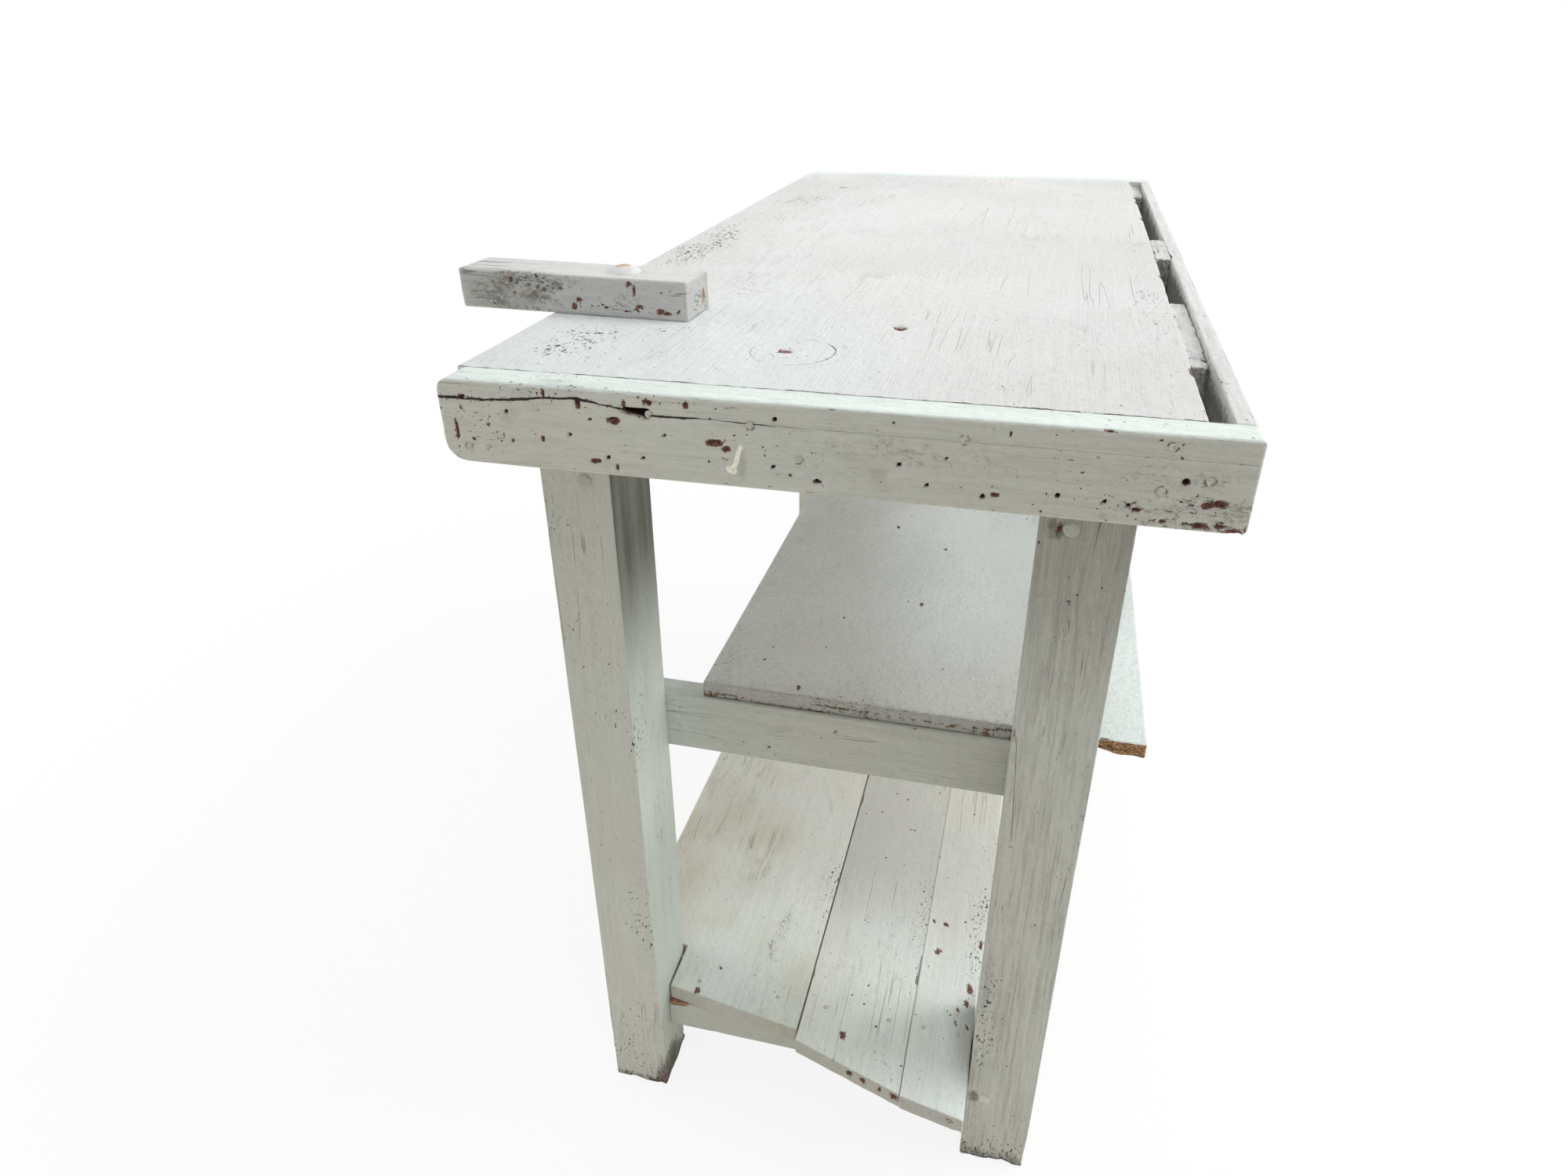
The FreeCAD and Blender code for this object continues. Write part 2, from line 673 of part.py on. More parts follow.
doc.recompute()

for thing in doc.Objects:
    if "Invalid" in thing.State or "Error" in thing.State:
        raise RuntimeError("%s failed: %s" % (thing.Name, thing.State))
for thing in sub_parts:
    if thing.Shape.isNull() or not thing.Shape.isValid() or not thing.Shape.Solids:
        raise RuntimeError("%s has no valid shape" % thing.Label)

os.makedirs("parts", exist_ok=True)
for thing in sub_parts:
    thing.Shape.exportStep("parts/%s.step" % thing.Label)
    print("%-18s %2d solids" % (thing.Label, len(thing.Shape.Solids)))
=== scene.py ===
"""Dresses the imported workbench: worn timber, old paint, nails and pegs, and a plain studio."""
import json
import math

import bpy
import numpy as np
from bpy.props import FloatProperty, FloatVectorProperty, PointerProperty
from mathutils import Matrix, Vector


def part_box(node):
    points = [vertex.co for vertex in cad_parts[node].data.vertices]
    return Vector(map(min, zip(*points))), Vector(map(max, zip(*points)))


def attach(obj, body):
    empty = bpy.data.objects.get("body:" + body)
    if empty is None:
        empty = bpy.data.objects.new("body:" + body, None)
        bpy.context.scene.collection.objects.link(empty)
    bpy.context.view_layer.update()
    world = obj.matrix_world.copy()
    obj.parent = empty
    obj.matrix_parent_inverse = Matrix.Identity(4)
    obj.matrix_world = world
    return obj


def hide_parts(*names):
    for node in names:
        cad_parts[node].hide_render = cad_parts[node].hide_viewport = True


bl_info = {
    "name": "Old painted workbench",
    "version": (1, 0, 0),
    "blender": (4, 5, 0),
    "location": "3D View > Sidebar > Workbench",
    "description": "Worn timber and old paint for the packed workbench",
    "category": "Object",
}

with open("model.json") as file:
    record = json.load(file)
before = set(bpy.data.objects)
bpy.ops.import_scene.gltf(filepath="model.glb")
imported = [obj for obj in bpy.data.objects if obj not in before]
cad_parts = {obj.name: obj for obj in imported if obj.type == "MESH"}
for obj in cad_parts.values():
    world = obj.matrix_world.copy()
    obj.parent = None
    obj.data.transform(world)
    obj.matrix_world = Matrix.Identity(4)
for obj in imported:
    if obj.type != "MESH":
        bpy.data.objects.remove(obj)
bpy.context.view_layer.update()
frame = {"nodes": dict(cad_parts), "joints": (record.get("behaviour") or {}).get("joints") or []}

BENCH, STOP, SHELF = "bench", "stop", "shelf"
X, Y, Z = 0, 1, 2


def span(node):
    """Lowest and highest corner of a CAD node as arrays, in metres."""
    low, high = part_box(node)
    return np.array(low), np.array(high)


SLAB_LOW, SLAB_HIGH = span("top_slab")
NEAR_FACE = span("near_end_cap")[1][X]
SLAB_FRONT = SLAB_LOW[Y]
BENCH_TOP = SLAB_HIGH[Z]
PIVOT = np.array(next(joint for joint in frame["joints"] if joint["name"] == "stop_turn")["pos_m"])


# Settings that a user would change

class WornTimberSettings(bpy.types.PropertyGroup):
    """Sizes of the wear on the timber."""

    arris: FloatProperty(name="Worn arris", description="Largest rounding of a timber's arris",
                         default=0.0032, min=0.0005, max=0.01, unit="LENGTH")
    sway: FloatProperty(name="Sway", description="How far a timber's faces wander from flat",
                        default=0.0005, min=0.0, max=0.003, unit="LENGTH")
    chip: FloatProperty(name="Chip depth", description="Depth of chips along the arrises",
                        default=0.0012, min=0.0, max=0.01, unit="LENGTH")


class OldPaintSettings(bpy.types.PropertyGroup):
    """Colours of the paint and of what shows under it."""

    frame_paint: FloatVectorProperty(name="Frame paint", description="Paint on legs and rails",
                                     subtype="COLOR", default=(0.648, 0.653, 0.592))
    top_paint: FloatVectorProperty(name="Top paint", description="Worn pale paint on the top",
                                   subtype="COLOR", default=(0.730, 0.735, 0.715))
    plank_paint: FloatVectorProperty(name="Plank paint", description="Paint on the floor planks",
                                     subtype="COLOR", default=(0.740, 0.740, 0.685))
    panel_paint: FloatVectorProperty(name="Panel paint", description="Paint on the shelf panel",
                                     subtype="COLOR", default=(0.640, 0.637, 0.602))
    bare_wood: FloatVectorProperty(name="Bare wood", description="Old wood in chips and holes",
                                   subtype="COLOR", default=(0.085, 0.042, 0.028))
    chipboard: FloatVectorProperty(name="Chipboard", description="Raw broken chipboard",
                                   subtype="COLOR", default=(0.420, 0.215, 0.095))


# Noise and meshes of worn timber

# large odd numbers that mix a cell's place and the seed into one number
CELL_KEYS = np.array((73856093, 19349663, 83492791))
SEED_KEY = 40503
MIX_KEY = 1274126177
SEED_SHIFT = 17.13


def smooth_noise(points, scale, seed):
    """Noise from -1 to 1 on an array of points. Scale is cells per metre, for all or each axis."""
    spot = points * np.asarray(scale) + seed * SEED_SHIFT
    cell = np.floor(spot).astype(np.int64)
    part = spot - cell
    part = part * part * (3 - 2 * part)
    total = np.zeros(len(points))
    for corner in range(8):
        offset = np.array([corner & 1, corner >> 1 & 1, corner >> 2 & 1])
        key = np.bitwise_xor.reduce((cell + offset) * CELL_KEYS, axis=1) ^ seed * SEED_KEY
        key = (key ^ key >> 13) * MIX_KEY & 0x7FFFFFFF
        value = (key >> 8 & 0xFFFF) / 32767.5 - 1
        total += value * np.prod(np.where(offset == 1, part, 1 - part), axis=1)
    return total


def rough_noise(points, scale, seed, layers=3):
    """Several layers of smooth noise, each finer and weaker than the last."""
    total = np.zeros(len(points))
    for layer in range(layers):
        total += smooth_noise(points, np.asarray(scale) * 2 ** layer, seed + layer) / 2 ** layer
    return total / (2 - 2 ** (1 - layers))


def ease(value, low, high):
    """0 below low, 1 above high, and a smooth rise between them."""
    share = np.clip((value - low) / (high - low), 0, 1)
    return share * share * (3 - 2 * share)


def grid_lines(low, high, worn, step):
    """Where a grid's lines stand along one side, close together at the worn arrises."""
    count = max(2, int(round((high - low - 2 * worn) / step)) + 1)
    edge = worn * np.array([0.0, 0.3, 0.62])
    middle = np.linspace(low + worn, high - worn, count)
    return np.concatenate([low + edge, middle, (high - edge)[::-1]])


def box_skin(lines):
    """Points and outward quads of a box's surface, gridded by the three lists of lines."""
    shape = tuple(len(row) for row in lines)
    skin = np.zeros(shape, bool)
    for axis in range(3):
        skin[tuple([0, -1] if k == axis else slice(None) for k in range(3))] = True
    index = np.full(shape, -1)
    index[skin] = np.arange(skin.sum())
    places = np.nonzero(skin)
    points = np.stack([row[at] for row, at in zip(lines, places)], axis=1)
    quads = []
    for axis in range(3):
        for end in (0, -1):
            face = np.take(index, end, axis=axis)
            ring = [face[:-1, :-1], face[1:, :-1], face[1:, 1:], face[:-1, 1:]]
            if (axis == 1) != (end == 0):
                ring.reverse()
            quads.append(np.stack(ring, axis=-1).reshape(-1, 4))
    return points, np.concatenate(quads)


# the layers that each timber keeps: wear and dirt, painted light in cool and pale, an even painted
# shade, and painted shade in the tool slots in the broken dirt layer
WEAR_AND_PAINTED_LIGHT = ("bare", "deep", "grime", "soot", "flecks", "raw", "cool", "pale", "line", "split")
# how far from a thin line the timber still knows where it lies
LINE_REACH = 0.01
# how much of its rounding an arris keeps where it butts against other timber
TIGHT_SHARE = 0.12
# holes deeper than this are dark inside, dark old wood with painted shade
DEEP = 0.0035
LOW_END, HIGH_END = 0, 1


class Timber:
    """One board or post while it is being shaped: its points, their normals, its wear and its
    painted light and shade.

    Wear and painted light and shade are kept for each point. Bare is where paint has come
    off, and deep is the dark inside of a hole, dark old wood with painted shade. One layer
    holds broken dirt, with painted shade in the tool slots and on the top's sides, and
    another holds an even painted shade where less light falls. Flecks is how thick small
    chips lie and raw is broken board. Cool is a painted cooler light, most on faces that turn
    to the light, and pale is painted light, lighter where more light falls. Line is how far a
    point lies from a thin line, 0.5 on it, and split is how open the line is. Tight names the
    ends of an axis that butt against other timber, where the arris stays sharp.
    """

    def __init__(self, low, high, grain, step, seed, arris=None, sway=None, chip=None, tight=()):
        wear = bpy.context.scene.worn_timber
        self.low, self.high = np.array(low, float), np.array(high, float)
        self.grain, self.seed = grain, seed
        arris = wear.arris if arris is None else arris
        sway = wear.sway if sway is None else sway
        chip = wear.chip if chip is None else chip
        steps = [step[k] if np.ndim(step) else step for k in range(3)]
        lines = [grid_lines(self.low[k], self.high[k], arris, steps[k]) for k in range(3)]
        self.points, self.quads = box_skin(lines)
        for kind in WEAR_AND_PAINTED_LIGHT:
            setattr(self, kind, np.zeros(len(self.points)))
        keep = np.ones((2, 3))
        for axis, end in tight:
            keep[end, axis] = TIGHT_SHARE
        self.round_arrises(arris, chip, keep)
        self.sway_faces(sway)

    def stretch(self, along, across):
        """Noise cells per metre, few along the grain and many across it."""
        scale = np.full(3, float(across))
        scale[self.grain] = along
        return scale

    def round_arrises(self, arris, chip, keep):
        """Rounds the arrises by an uneven radius, with chips where the wood has broken away."""
        points = self.points
        uneven = rough_noise(points, self.stretch(9, 60), self.seed) * 0.5 + 0.5
        radius = (arris * (0.35 + 0.65 * np.clip(uneven, 0, 1)))[:, None]
        low_radius, high_radius = radius * keep[0], radius * keep[1]
        inner = np.clip(points, self.low + low_radius, self.high - high_radius)
        reach = np.where(points > inner, high_radius, low_radius)
        share = (points - inner) / reach
        length = np.maximum(np.linalg.norm(share, axis=1, keepdims=True), 1e-9)
        self.points = inner + share / length * reach
        self.normals = share / reach
        self.normals /= np.maximum(np.linalg.norm(self.normals, axis=1, keepdims=True), 1e-9)
        self.arrisness = ease(np.abs(share / length).sum(axis=1), 1.02, 1.3)
        self.arrisness *= (np.where(np.abs(share) > 0.05, reach, 1).min(axis=1)
                           > radius[:, 0] * 0.9)
        broken = ease(rough_noise(points, self.stretch(45, 110), self.seed + 5), 0.40, 0.62)
        self.points -= self.normals * (chip * broken * self.arrisness)[:, None]
        self.more("bare", self.arrisness * broken)

    def sway_faces(self, sway):
        """Lets the faces wander from flat, most along the grain, with fine ridges on top."""
        push = sway * rough_noise(self.points, self.stretch(3, 16), self.seed + 9)
        push += 0.12 * sway * rough_noise(self.points, self.stretch(24, 260), self.seed + 11)
        self.points += self.normals * push[:, None]

    def more(self, kind, amount):
        """Adds to one of the layers, which hold wear and dirt, painted light and painted shade.
        Where there is some already, the larger of the two counts.
        """
        setattr(self, kind, np.maximum(getattr(self, kind), amount))

    def dent(self, spot, size, depth, bare=1.0, ragged=0.35):
        """A hole or knock. Size is a radius, or one for each axis, and its outline is ragged."""
        away = np.linalg.norm((self.points - np.array(spot)) / size, axis=1)
        away += ragged * rough_noise(self.points, 0.55 / np.min(size), self.seed + 51)
        self.points -= self.normals * (depth * ease(-away, -1.1, -0.4))[:, None]
        self.more("bare", bare * ease(-away, -1.25, -0.45))
        if depth > DEEP:
            self.more("deep", ease(-away, -1.0, -0.4))

    def ring(self, spot, size, share, depth):
        """A broken dirty ring round a spot. Share is how thick it is against its size."""
        away = np.linalg.norm((self.points - np.array(spot)) / size, axis=1)
        weight = ease(-np.abs(away - 1), -share, -share * 0.2)
        weight *= ease(smooth_noise(self.points, 1.4 / size, self.seed + 61), -0.45, 0.3)
        self.points -= self.normals * (depth * weight)[:, None]
        self.more("grime", weight)

    def patch(self, kind, spot, size, amount=1.0):
        """Adds to one of the layers round a spot: wear and dirt, painted light and painted shade.
        It fades out at the given sizes from it.
        """
        away = np.linalg.norm((self.points - np.array(spot)) / np.array(size), axis=1)
        self.more(kind, amount * ease(-away, -1.0, -0.25))

    def crack(self, path, width, depth):
        """A crack that follows a path of spots over the surface."""
        nearest = np.full(len(self.points), 1e9)
        for start, end in zip(path[:-1], path[1:]):
            start, run = np.array(start), np.array(end) - np.array(start)
            share = np.clip((self.points - start) @ run / (run @ run), 0, 1)
            gap = np.linalg.norm(self.points - start - share[:, None] * run, axis=1)
            nearest = np.minimum(nearest, gap)
        wander = 0.75 + 0.65 * smooth_noise(self.points, 75, self.seed + 21)
        weight = ease(-nearest / (width * wander), -1.2, -0.4)
        if depth > DEEP:
            self.more("deep", weight)
        self.points -= self.normals * (depth * weight)[:, None]
        self.more("bare", weight)

    def hairline(self, away, open_share):
        """A thin line where the distance away, with its sign, is zero. The nearest line counts."""
        line = np.clip(0.5 + away / (2 * LINE_REACH), 0, 1)
        nearer = np.abs(line - 0.5) < np.abs(self.line - 0.5)
        self.line = np.where(nearer, line, self.line)
        self.split = np.where(nearer, open_share, self.split)

    def trim(self, spot, normal, worn=0.0):
        """Takes off what lies beyond a plane, with an uneven cut."""
        normal = np.array(normal, float) / np.linalg.norm(normal)
        uneven = worn * rough_noise(self.points, 70, self.seed + 31)
        beyond = np.maximum((self.points - np.array(spot)) @ normal + uneven, 0)
        self.points -= normal * beyond[:, None]

    def skew(self, axis, by, front, back):
        """Slides the two ends along an axis, by amounts that change across the board.

        Front and back are pairs: how far the low end and the high end move at each side.
        """
        across = (self.points[:, by] - self.low[by]) / (self.high[by] - self.low[by])
        along = (self.points[:, axis] - self.low[axis]) / (self.high[axis] - self.low[axis])
        low_end = front[0] + (back[0] - front[0]) * across
        high_end = front[1] + (back[1] - front[1]) * across
        self.points[:, axis] += low_end + (high_end - low_end) * along

    def piece(self, name):
        """The finished board as an object whose mesh carries its wear and its painted light and
        shade.
        """
        mesh = bpy.data.meshes.new(name)
        mesh.from_pydata(self.points.tolist(), [], self.quads.tolist())
        for kind in WEAR_AND_PAINTED_LIGHT:
            layer = mesh.attributes.new(kind, "FLOAT", "POINT")
            layer.data.foreach_set("value", np.clip(getattr(self, kind), 0, 1))
        mesh.shade_smooth()
        return stand(name, mesh)


def stand(name, data):
    """Puts a mesh, a lamp or a camera into the scene as an object."""
    made = bpy.data.objects.new(name, data)
    bpy.context.scene.collection.objects.link(made)
    return made


def settle(piece, material, node, body):
    """Gives a piece its finish and the body that it moves with, and hides the CAD node that it
    replaces.
    """
    piece.data.materials.clear()
    piece.data.materials.append(material)
    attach(piece, body)
    if node:
        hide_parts(*([node] if isinstance(node, str) else node))


def lathe(name, profile, count, uneven, seed=1, spot=(0, 0, 0)):
    """A closed turned piece. Profile is pairs of radius and height, from the axis to the axis."""
    rings = [pair for pair in profile if pair[0] > 0]
    turn = np.linspace(0, 2 * math.pi, count, endpoint=False)
    points = [[0, 0, profile[0][1]], [0, 0, profile[-1][1]]]
    for radius, height in rings:
        points += [[radius * math.cos(a), radius * math.sin(a), height] for a in turn]
    points = np.array(points)
    points += uneven * rough_noise(points, 220, seed)[:, None] * np.array([1, 1, 0.5])
    points += np.array(spot)
    return mesh_piece(name, points, ring_faces(len(rings), count))


def ring_faces(rings, count):
    """Faces of a closed skin whose points are its two end points and then ring after ring."""
    faces = []
    last = 2 + (rings - 1) * count
    for k in range(count):
        follower = (k + 1) % count
        faces.append((0, 2 + follower, 2 + k))
        faces.append((1, last + k, last + follower))
        for ring in range(rings - 1):
            low = 2 + ring * count
            faces.append((low + k, low + follower, low + count + follower, low + count + k))
    return faces


def mesh_piece(name, points, faces):
    """A smooth object from its points and faces."""
    mesh = bpy.data.meshes.new(name)
    mesh.from_pydata([tuple(point) for point in points], [], faces)
    mesh.validate()
    mesh.shade_smooth()
    return stand(name, mesh)


def tube(name, path, radius, count=16):
    """A closed tube of a round section along a path of points."""
    path = [Vector(spot) for spot in path]
    points = [tuple(path[0]), tuple(path[-1])]
    side = Vector((0, 1, 0))
    for index, spot in enumerate(path):
        run = path[min(index + 1, len(path) - 1)] - path[max(index - 1, 0)]
        run.normalize()
        up = run.cross(side).normalized()
        for k in range(count):
            angle = 2 * math.pi * k / count
            points.append(tuple(spot + radius * (math.cos(angle) * side + math.sin(angle) * up)))
    return mesh_piece(name, points, ring_faces(len(path), count))


# Materials

def add_node(tree, kind, settings=None, sockets=None):
    """One node: its type, its settings, which are set first, and what its sockets get."""
    node = tree.nodes.new(kind)
    for key, value in (settings or {}).items():
        setattr(node, key, value)
    for key, value in (sockets or {}).items():
        if isinstance(value, bpy.types.NodeSocket):
            tree.links.new(value, node.inputs[key])
        else:
            node.inputs[key].default_value = value
    return node


class Wire:
    """A socket's value inside a material. A sum on wires adds its Math nodes."""

    def __init__(self, finish, socket):
        self.finish, self.socket = finish, socket

    def math(self, operation, *values):
        """One Math node. Its first input is this wire."""
        sockets = dict(enumerate((self,) + values))
        node = self.finish.add("ShaderNodeMath", {"operation": operation}, sockets)
        return Wire(self.finish, node.outputs[0])

    def __add__(self, other):
        return self.math("ADD", other)

    __radd__ = __add__

    def __mul__(self, other):
        return self.math("MULTIPLY", other)

    __rmul__ = __mul__

    def __sub__(self, other):
        return self.math("SUBTRACT", other)

    def __rsub__(self, other):
        return (self * -1.0).math("ADD", other)

    def clamp(self):
        return self.math("MAXIMUM", 0.0).math("MINIMUM", 1.0)

    def most(self, other):
        return self.math("MAXIMUM", other)

    def rise(self, low, high):
        """0 below low, 1 above high, and a smooth rise between them."""
        node = self.finish.add("ShaderNodeMapRange", {"interpolation_type": "SMOOTHSTEP"},
                               {0: self, 1: low, 2: high, 3: 0.0, 4: 1.0})
        return Wire(self.finish, node.outputs[0])


class Finish:
    """One material while it is being made."""

    def __init__(self, name, grain=X):
        self.material = bpy.data.materials.new(name)
        self.material.use_nodes = True
        self.tree = self.material.node_tree
        self.tree.nodes.clear()
        self.grain = grain
        self.place = Wire(self, self.add("ShaderNodeTexCoord").outputs["Object"])

    def add(self, kind, settings=None, sockets=None):
        """Adds one node. Its sockets get plain values or wires."""
        sockets = {key: value.socket if isinstance(value, Wire) else value
                   for key, value in (sockets or {}).items()}
        return add_node(self.tree, kind, settings, sockets)

    def stretched(self, along, across):
        """The place, scaled so that noise on it runs along the grain."""
        scale = [across] * 3
        scale[self.grain] = along
        node = self.add("ShaderNodeVectorMath", {"operation": "MULTIPLY"},
                        {0: self.place, 1: tuple(scale)})
        return Wire(self, node.outputs[0])

    def turned(self, angle, along, across):
        """The place for strokes that lie at an angle to X on a level face."""
        rows = ((math.cos(angle), math.sin(angle), 0), (-math.sin(angle), math.cos(angle), 0))
        parts = {}
        for axis, (row, scale) in enumerate(zip(rows, (along, across))):
            node = self.add("ShaderNodeVectorMath", {"operation": "DOT_PRODUCT"},
                            {0: self.place, 1: tuple(scale * share for share in row)})
            parts[axis] = Wire(self, node.outputs["Value"])
        return Wire(self, self.add("ShaderNodeCombineXYZ", None, parts).outputs[0])

    def noise(self, place=None, scale=1.0, detail=3.0, rough=0.55, bent=0.0):
        node = self.add("ShaderNodeTexNoise", {"noise_dimensions": "3D"},
                        {"Vector": place or self.place, "Scale": scale, "Detail": detail,
                         "Roughness": rough, "Distortion": bent})
        return Wire(self, node.outputs[0])

    def cells(self, place, scale):
        """How far a place lies from its cell's centre, and a random value of the cell."""
        node = self.add("ShaderNodeTexVoronoi", {"feature": "F1"},
                        {"Vector": place, "Scale": scale})
        colour = self.add("ShaderNodeSeparateColor", None, {0: node.outputs["Color"]})
        return Wire(self, node.outputs["Distance"]), Wire(self, colour.outputs[0])

    def spots(self, scale, reach, share):
        """Round spots of uneven size in some of the cells: 1 inside a spot and 0 outside."""
        distance, chance = self.cells(self.place, scale)
        return (chance.rise(1.0 - share, 1.0) * reach - distance).rise(0.0, 0.06 * reach + 0.015)

    def layer(self, name):
        node = self.add("ShaderNodeAttribute", {"attribute_name": name})
        return Wire(self, node.outputs["Fac"])

    def mix(self, share, first, second, blend="MIX"):
        def as_colour(value):
            return value if isinstance(value, Wire) else (*value, 1.0)
        node = self.add("ShaderNodeMix", {"data_type": "RGBA", "blend_type": blend},
                        {0: share, 6: as_colour(first), 7: as_colour(second)})
        return Wire(self, node.outputs[2])

    def bump(self, height, distance):
        node = self.add("ShaderNodeBump", None,
                        {"Height": height, "Distance": distance, "Strength": 1.0})
        return Wire(self, node.outputs[0])

    def close(self, colour, roughness, normal, metallic=0.0):
        shader = self.add("ShaderNodeBsdfPrincipled", None,
                          {"Base Color": colour, "Roughness": roughness,
                           "Normal": normal, "Metallic": metallic})
        self.add("ShaderNodeOutputMaterial", None, {0: shader.outputs[0]})
        return self.material


def tinted(colour, share):
    """A darker or lighter shade of a colour, at most 1 in each channel."""
    return tuple(min(1.0, channel * share) for channel in colour)


BROWN_STAIN = (0.20, 0.125, 0.085)
# the dark colour of dirt, which the shade layers also use for painted shade
GRIME_AND_SHADE = (0.115, 0.105, 0.088)
SMUDGE = (0.29, 0.28, 0.275)
RUST = (0.30, 0.145, 0.06)
YELLOW_RUST = (0.46, 0.31, 0.13)
CREAM = (0.66, 0.60, 0.44)
# these multiply the paint: painted cooler light, and painted light where more light falls, on
# timber and on the panel
COOL = (1.07, 1.16, 1.20)
PAINTED_LIGHT = (1.18, 1.18, 1.19)
PANEL_COOL = (1.2519, 1.3572, 1.404)
PANEL_PAINTED_LIGHT = (1.1128, 1.2064, 1.248)
RED_BROWN = (0.27, 0.125, 0.088)
SPECK = (0.062, 0.048, 0.042)
RAW_WOOD = (0.56, 0.33, 0.19)


def old_paint(name, grain, colour, lines=0.5, thin=0.3, flecks=0.3, worm=0.0, smudge=0.3,
              scuff=0.3, yellow=0.0, gloss=0.3, fan=0.0, calm=1.0):
    """Brushed paint on old timber.

    Lines: how strongly the grain stands out. Thin: brown showing through along the grain.
    Flecks: small chips. Worm: round worm holes. Smudge: grey dirt rubbed into the paint.
    Scuff: pale scratches. Yellow: creamier patches. Gloss: how wet the paint looks in
    places. Fan: brush strokes that sweep across the grain. Calm: how much the strokes differ
    in tone, all of it at 1.
    """
    wood = tuple(bpy.context.scene.old_paint.bare_wood)
    finish = Finish(name, grain)
    patch = finish.noise(scale=7.0, detail=3.0)
    drift = finish.noise(scale=2.6, detail=2.0)
    brush = finish.noise(finish.stretched(14.0, 330.0), detail=3.0, rough=0.6, bent=0.35)
    broad = finish.noise(finish.stretched(7.0, 60.0), detail=3.0, rough=0.55, bent=0.3)
    ridge = finish.noise(finish.stretched(11.0, 230.0 + 110.0 * lines), detail=5.0, rough=0.75,
                         bent=0.1)
    grit = finish.noise(finish.stretched(110.0, 430.0), detail=5.0, rough=0.75)
    fine = finish.noise(scale=700.0, detail=2.0)
    lumps = finish.noise(scale=95.0, detail=4.0, rough=0.6)

    tone = finish.mix(drift.rise(0.35, 0.65), tinted(colour, 0.95), tinted(colour, 1.04))
    tone = finish.mix(finish.noise(scale=4.3, detail=3.0).rise(0.48, 0.70) * yellow, tone, CREAM)
    strokes = (brush - 0.5) * (0.25 + lines) + (broad - 0.5) * (0.25 + 0.3 * lines)
    # the grit's part in the strokes' tone is painted light and shade of the paint's fine relief,
    # which the same noise raises in the bump
    strokes = strokes + (grit - 0.5) * 0.8
    strokes = strokes + (ridge - 0.5) * (0.9 * lines)
    if fan:
        sweep = finish.noise(finish.turned(0.55, 10.0, 240.0), detail=3.0, rough=0.6, bent=0.5)
        swing = finish.noise(finish.turned(-0.42, 12.0, 200.0), detail=3.0, rough=0.6, bent=0.5)
        region = finish.noise(scale=5.0, detail=1.0)
        strokes = strokes + (sweep - 0.5) * region.rise(0.50, 0.58) * fan
        strokes = strokes + (swing - 0.5) * (1.0 - region.rise(0.40, 0.48)) * fan
    shade = (strokes + 0.5).rise(0.22, 0.72)
    tone = finish.mix((0.34 + 0.26 * lines) * calm, tone,
                      finish.mix(shade, tinted(colour, 0.76), tinted(colour, 1.13)))
    # painted light: the cool layer tints faces cooler and lighter where the light falls, with
    # random cooler patches in the paint as well, and the pale layer lightens where more light falls
    cool = finish.layer("cool") + patch.rise(0.50, 0.70) * 0.2
    tone = finish.mix(cool.clamp(), tone, COOL, "MULTIPLY")
    tone = finish.mix(finish.layer("pale"), tone, PAINTED_LIGHT, "MULTIPLY")

    rubbed = finish.noise(finish.stretched(16.0, 46.0), detail=5.0, rough=0.68, bent=0.5)
    rubbed = rubbed.rise(0.50, 0.70) * finish.noise(scale=6.5, detail=2.0).rise(0.47, 0.66)
    rubbed = (rubbed * (0.35 + brush.rise(0.40, 0.62))).clamp()
    tone = finish.mix(rubbed * (0.75 * smudge), tone, SMUDGE)
    furrow = (0.47 - ridge).rise(0.0, 0.08)
    tone = finish.mix(furrow * (0.40 * lines), tone, SMUDGE)
    gap = (finish.layer("line") - 0.5) * (2.0 * LINE_REACH)
    gap = (gap + (finish.noise(scale=110.0, detail=4.0, rough=0.6) - 0.5) * 0.0022).math("ABSOLUTE")
    split = finish.layer("split")
    slit = (split * finish.noise(finish.stretched(32.0, 90.0)).rise(0.28, 0.68) * 0.0014 - gap)
    slit = slit.rise(-0.0001, 0.00015)

    thin_patch = finish.noise(scale=12.0, detail=2.0).rise(0.50, 0.64)
    dash = finish.noise(finish.stretched(26.0, 420.0), detail=4.0, rough=0.72)
    dash = dash.rise(0.655, 0.69) * thin_patch * thin
    vein = finish.noise(finish.stretched(1.2, 36.0), detail=3.0, rough=0.5)
    vein = (vein - 0.5).math("ABSOLUTE")
    vein = (1.0 - vein.rise(0.0012, 0.0045)) * finish.noise(scale=8.0).rise(0.53, 0.60) * thin

    many = (finish.noise(scale=13.0, detail=2.0) * 0.20 + finish.layer("flecks") * 0.115
            + (0.07 * flecks - 0.135))
    fleck = finish.noise(finish.stretched(230.0, 330.0), detail=4.0, rough=0.66, bent=0.2)
    fleck = (fleck + many).rise(0.685, 0.70)
    blot = finish.noise(scale=58.0, detail=6.0, rough=0.72) + finish.layer("flecks") * 0.045
    blot = (blot + (patch - 0.5) * 0.16).rise(0.722 - 0.012 * flecks, 0.732 - 0.012 * flecks)
    pin = finish.spots(scale=88.0, reach=0.10, share=0.05 + 0.06 * flecks)
    holes = finish.spots(scale=120.0, reach=0.19, share=0.2) * worm
    stain = (finish.noise(scale=50.0, detail=5.0, rough=0.72).rise(0.58, 0.78)
             * finish.noise(scale=6.0, detail=2.0).rise(0.52, 0.70) * (0.35 * (thin + worm)))

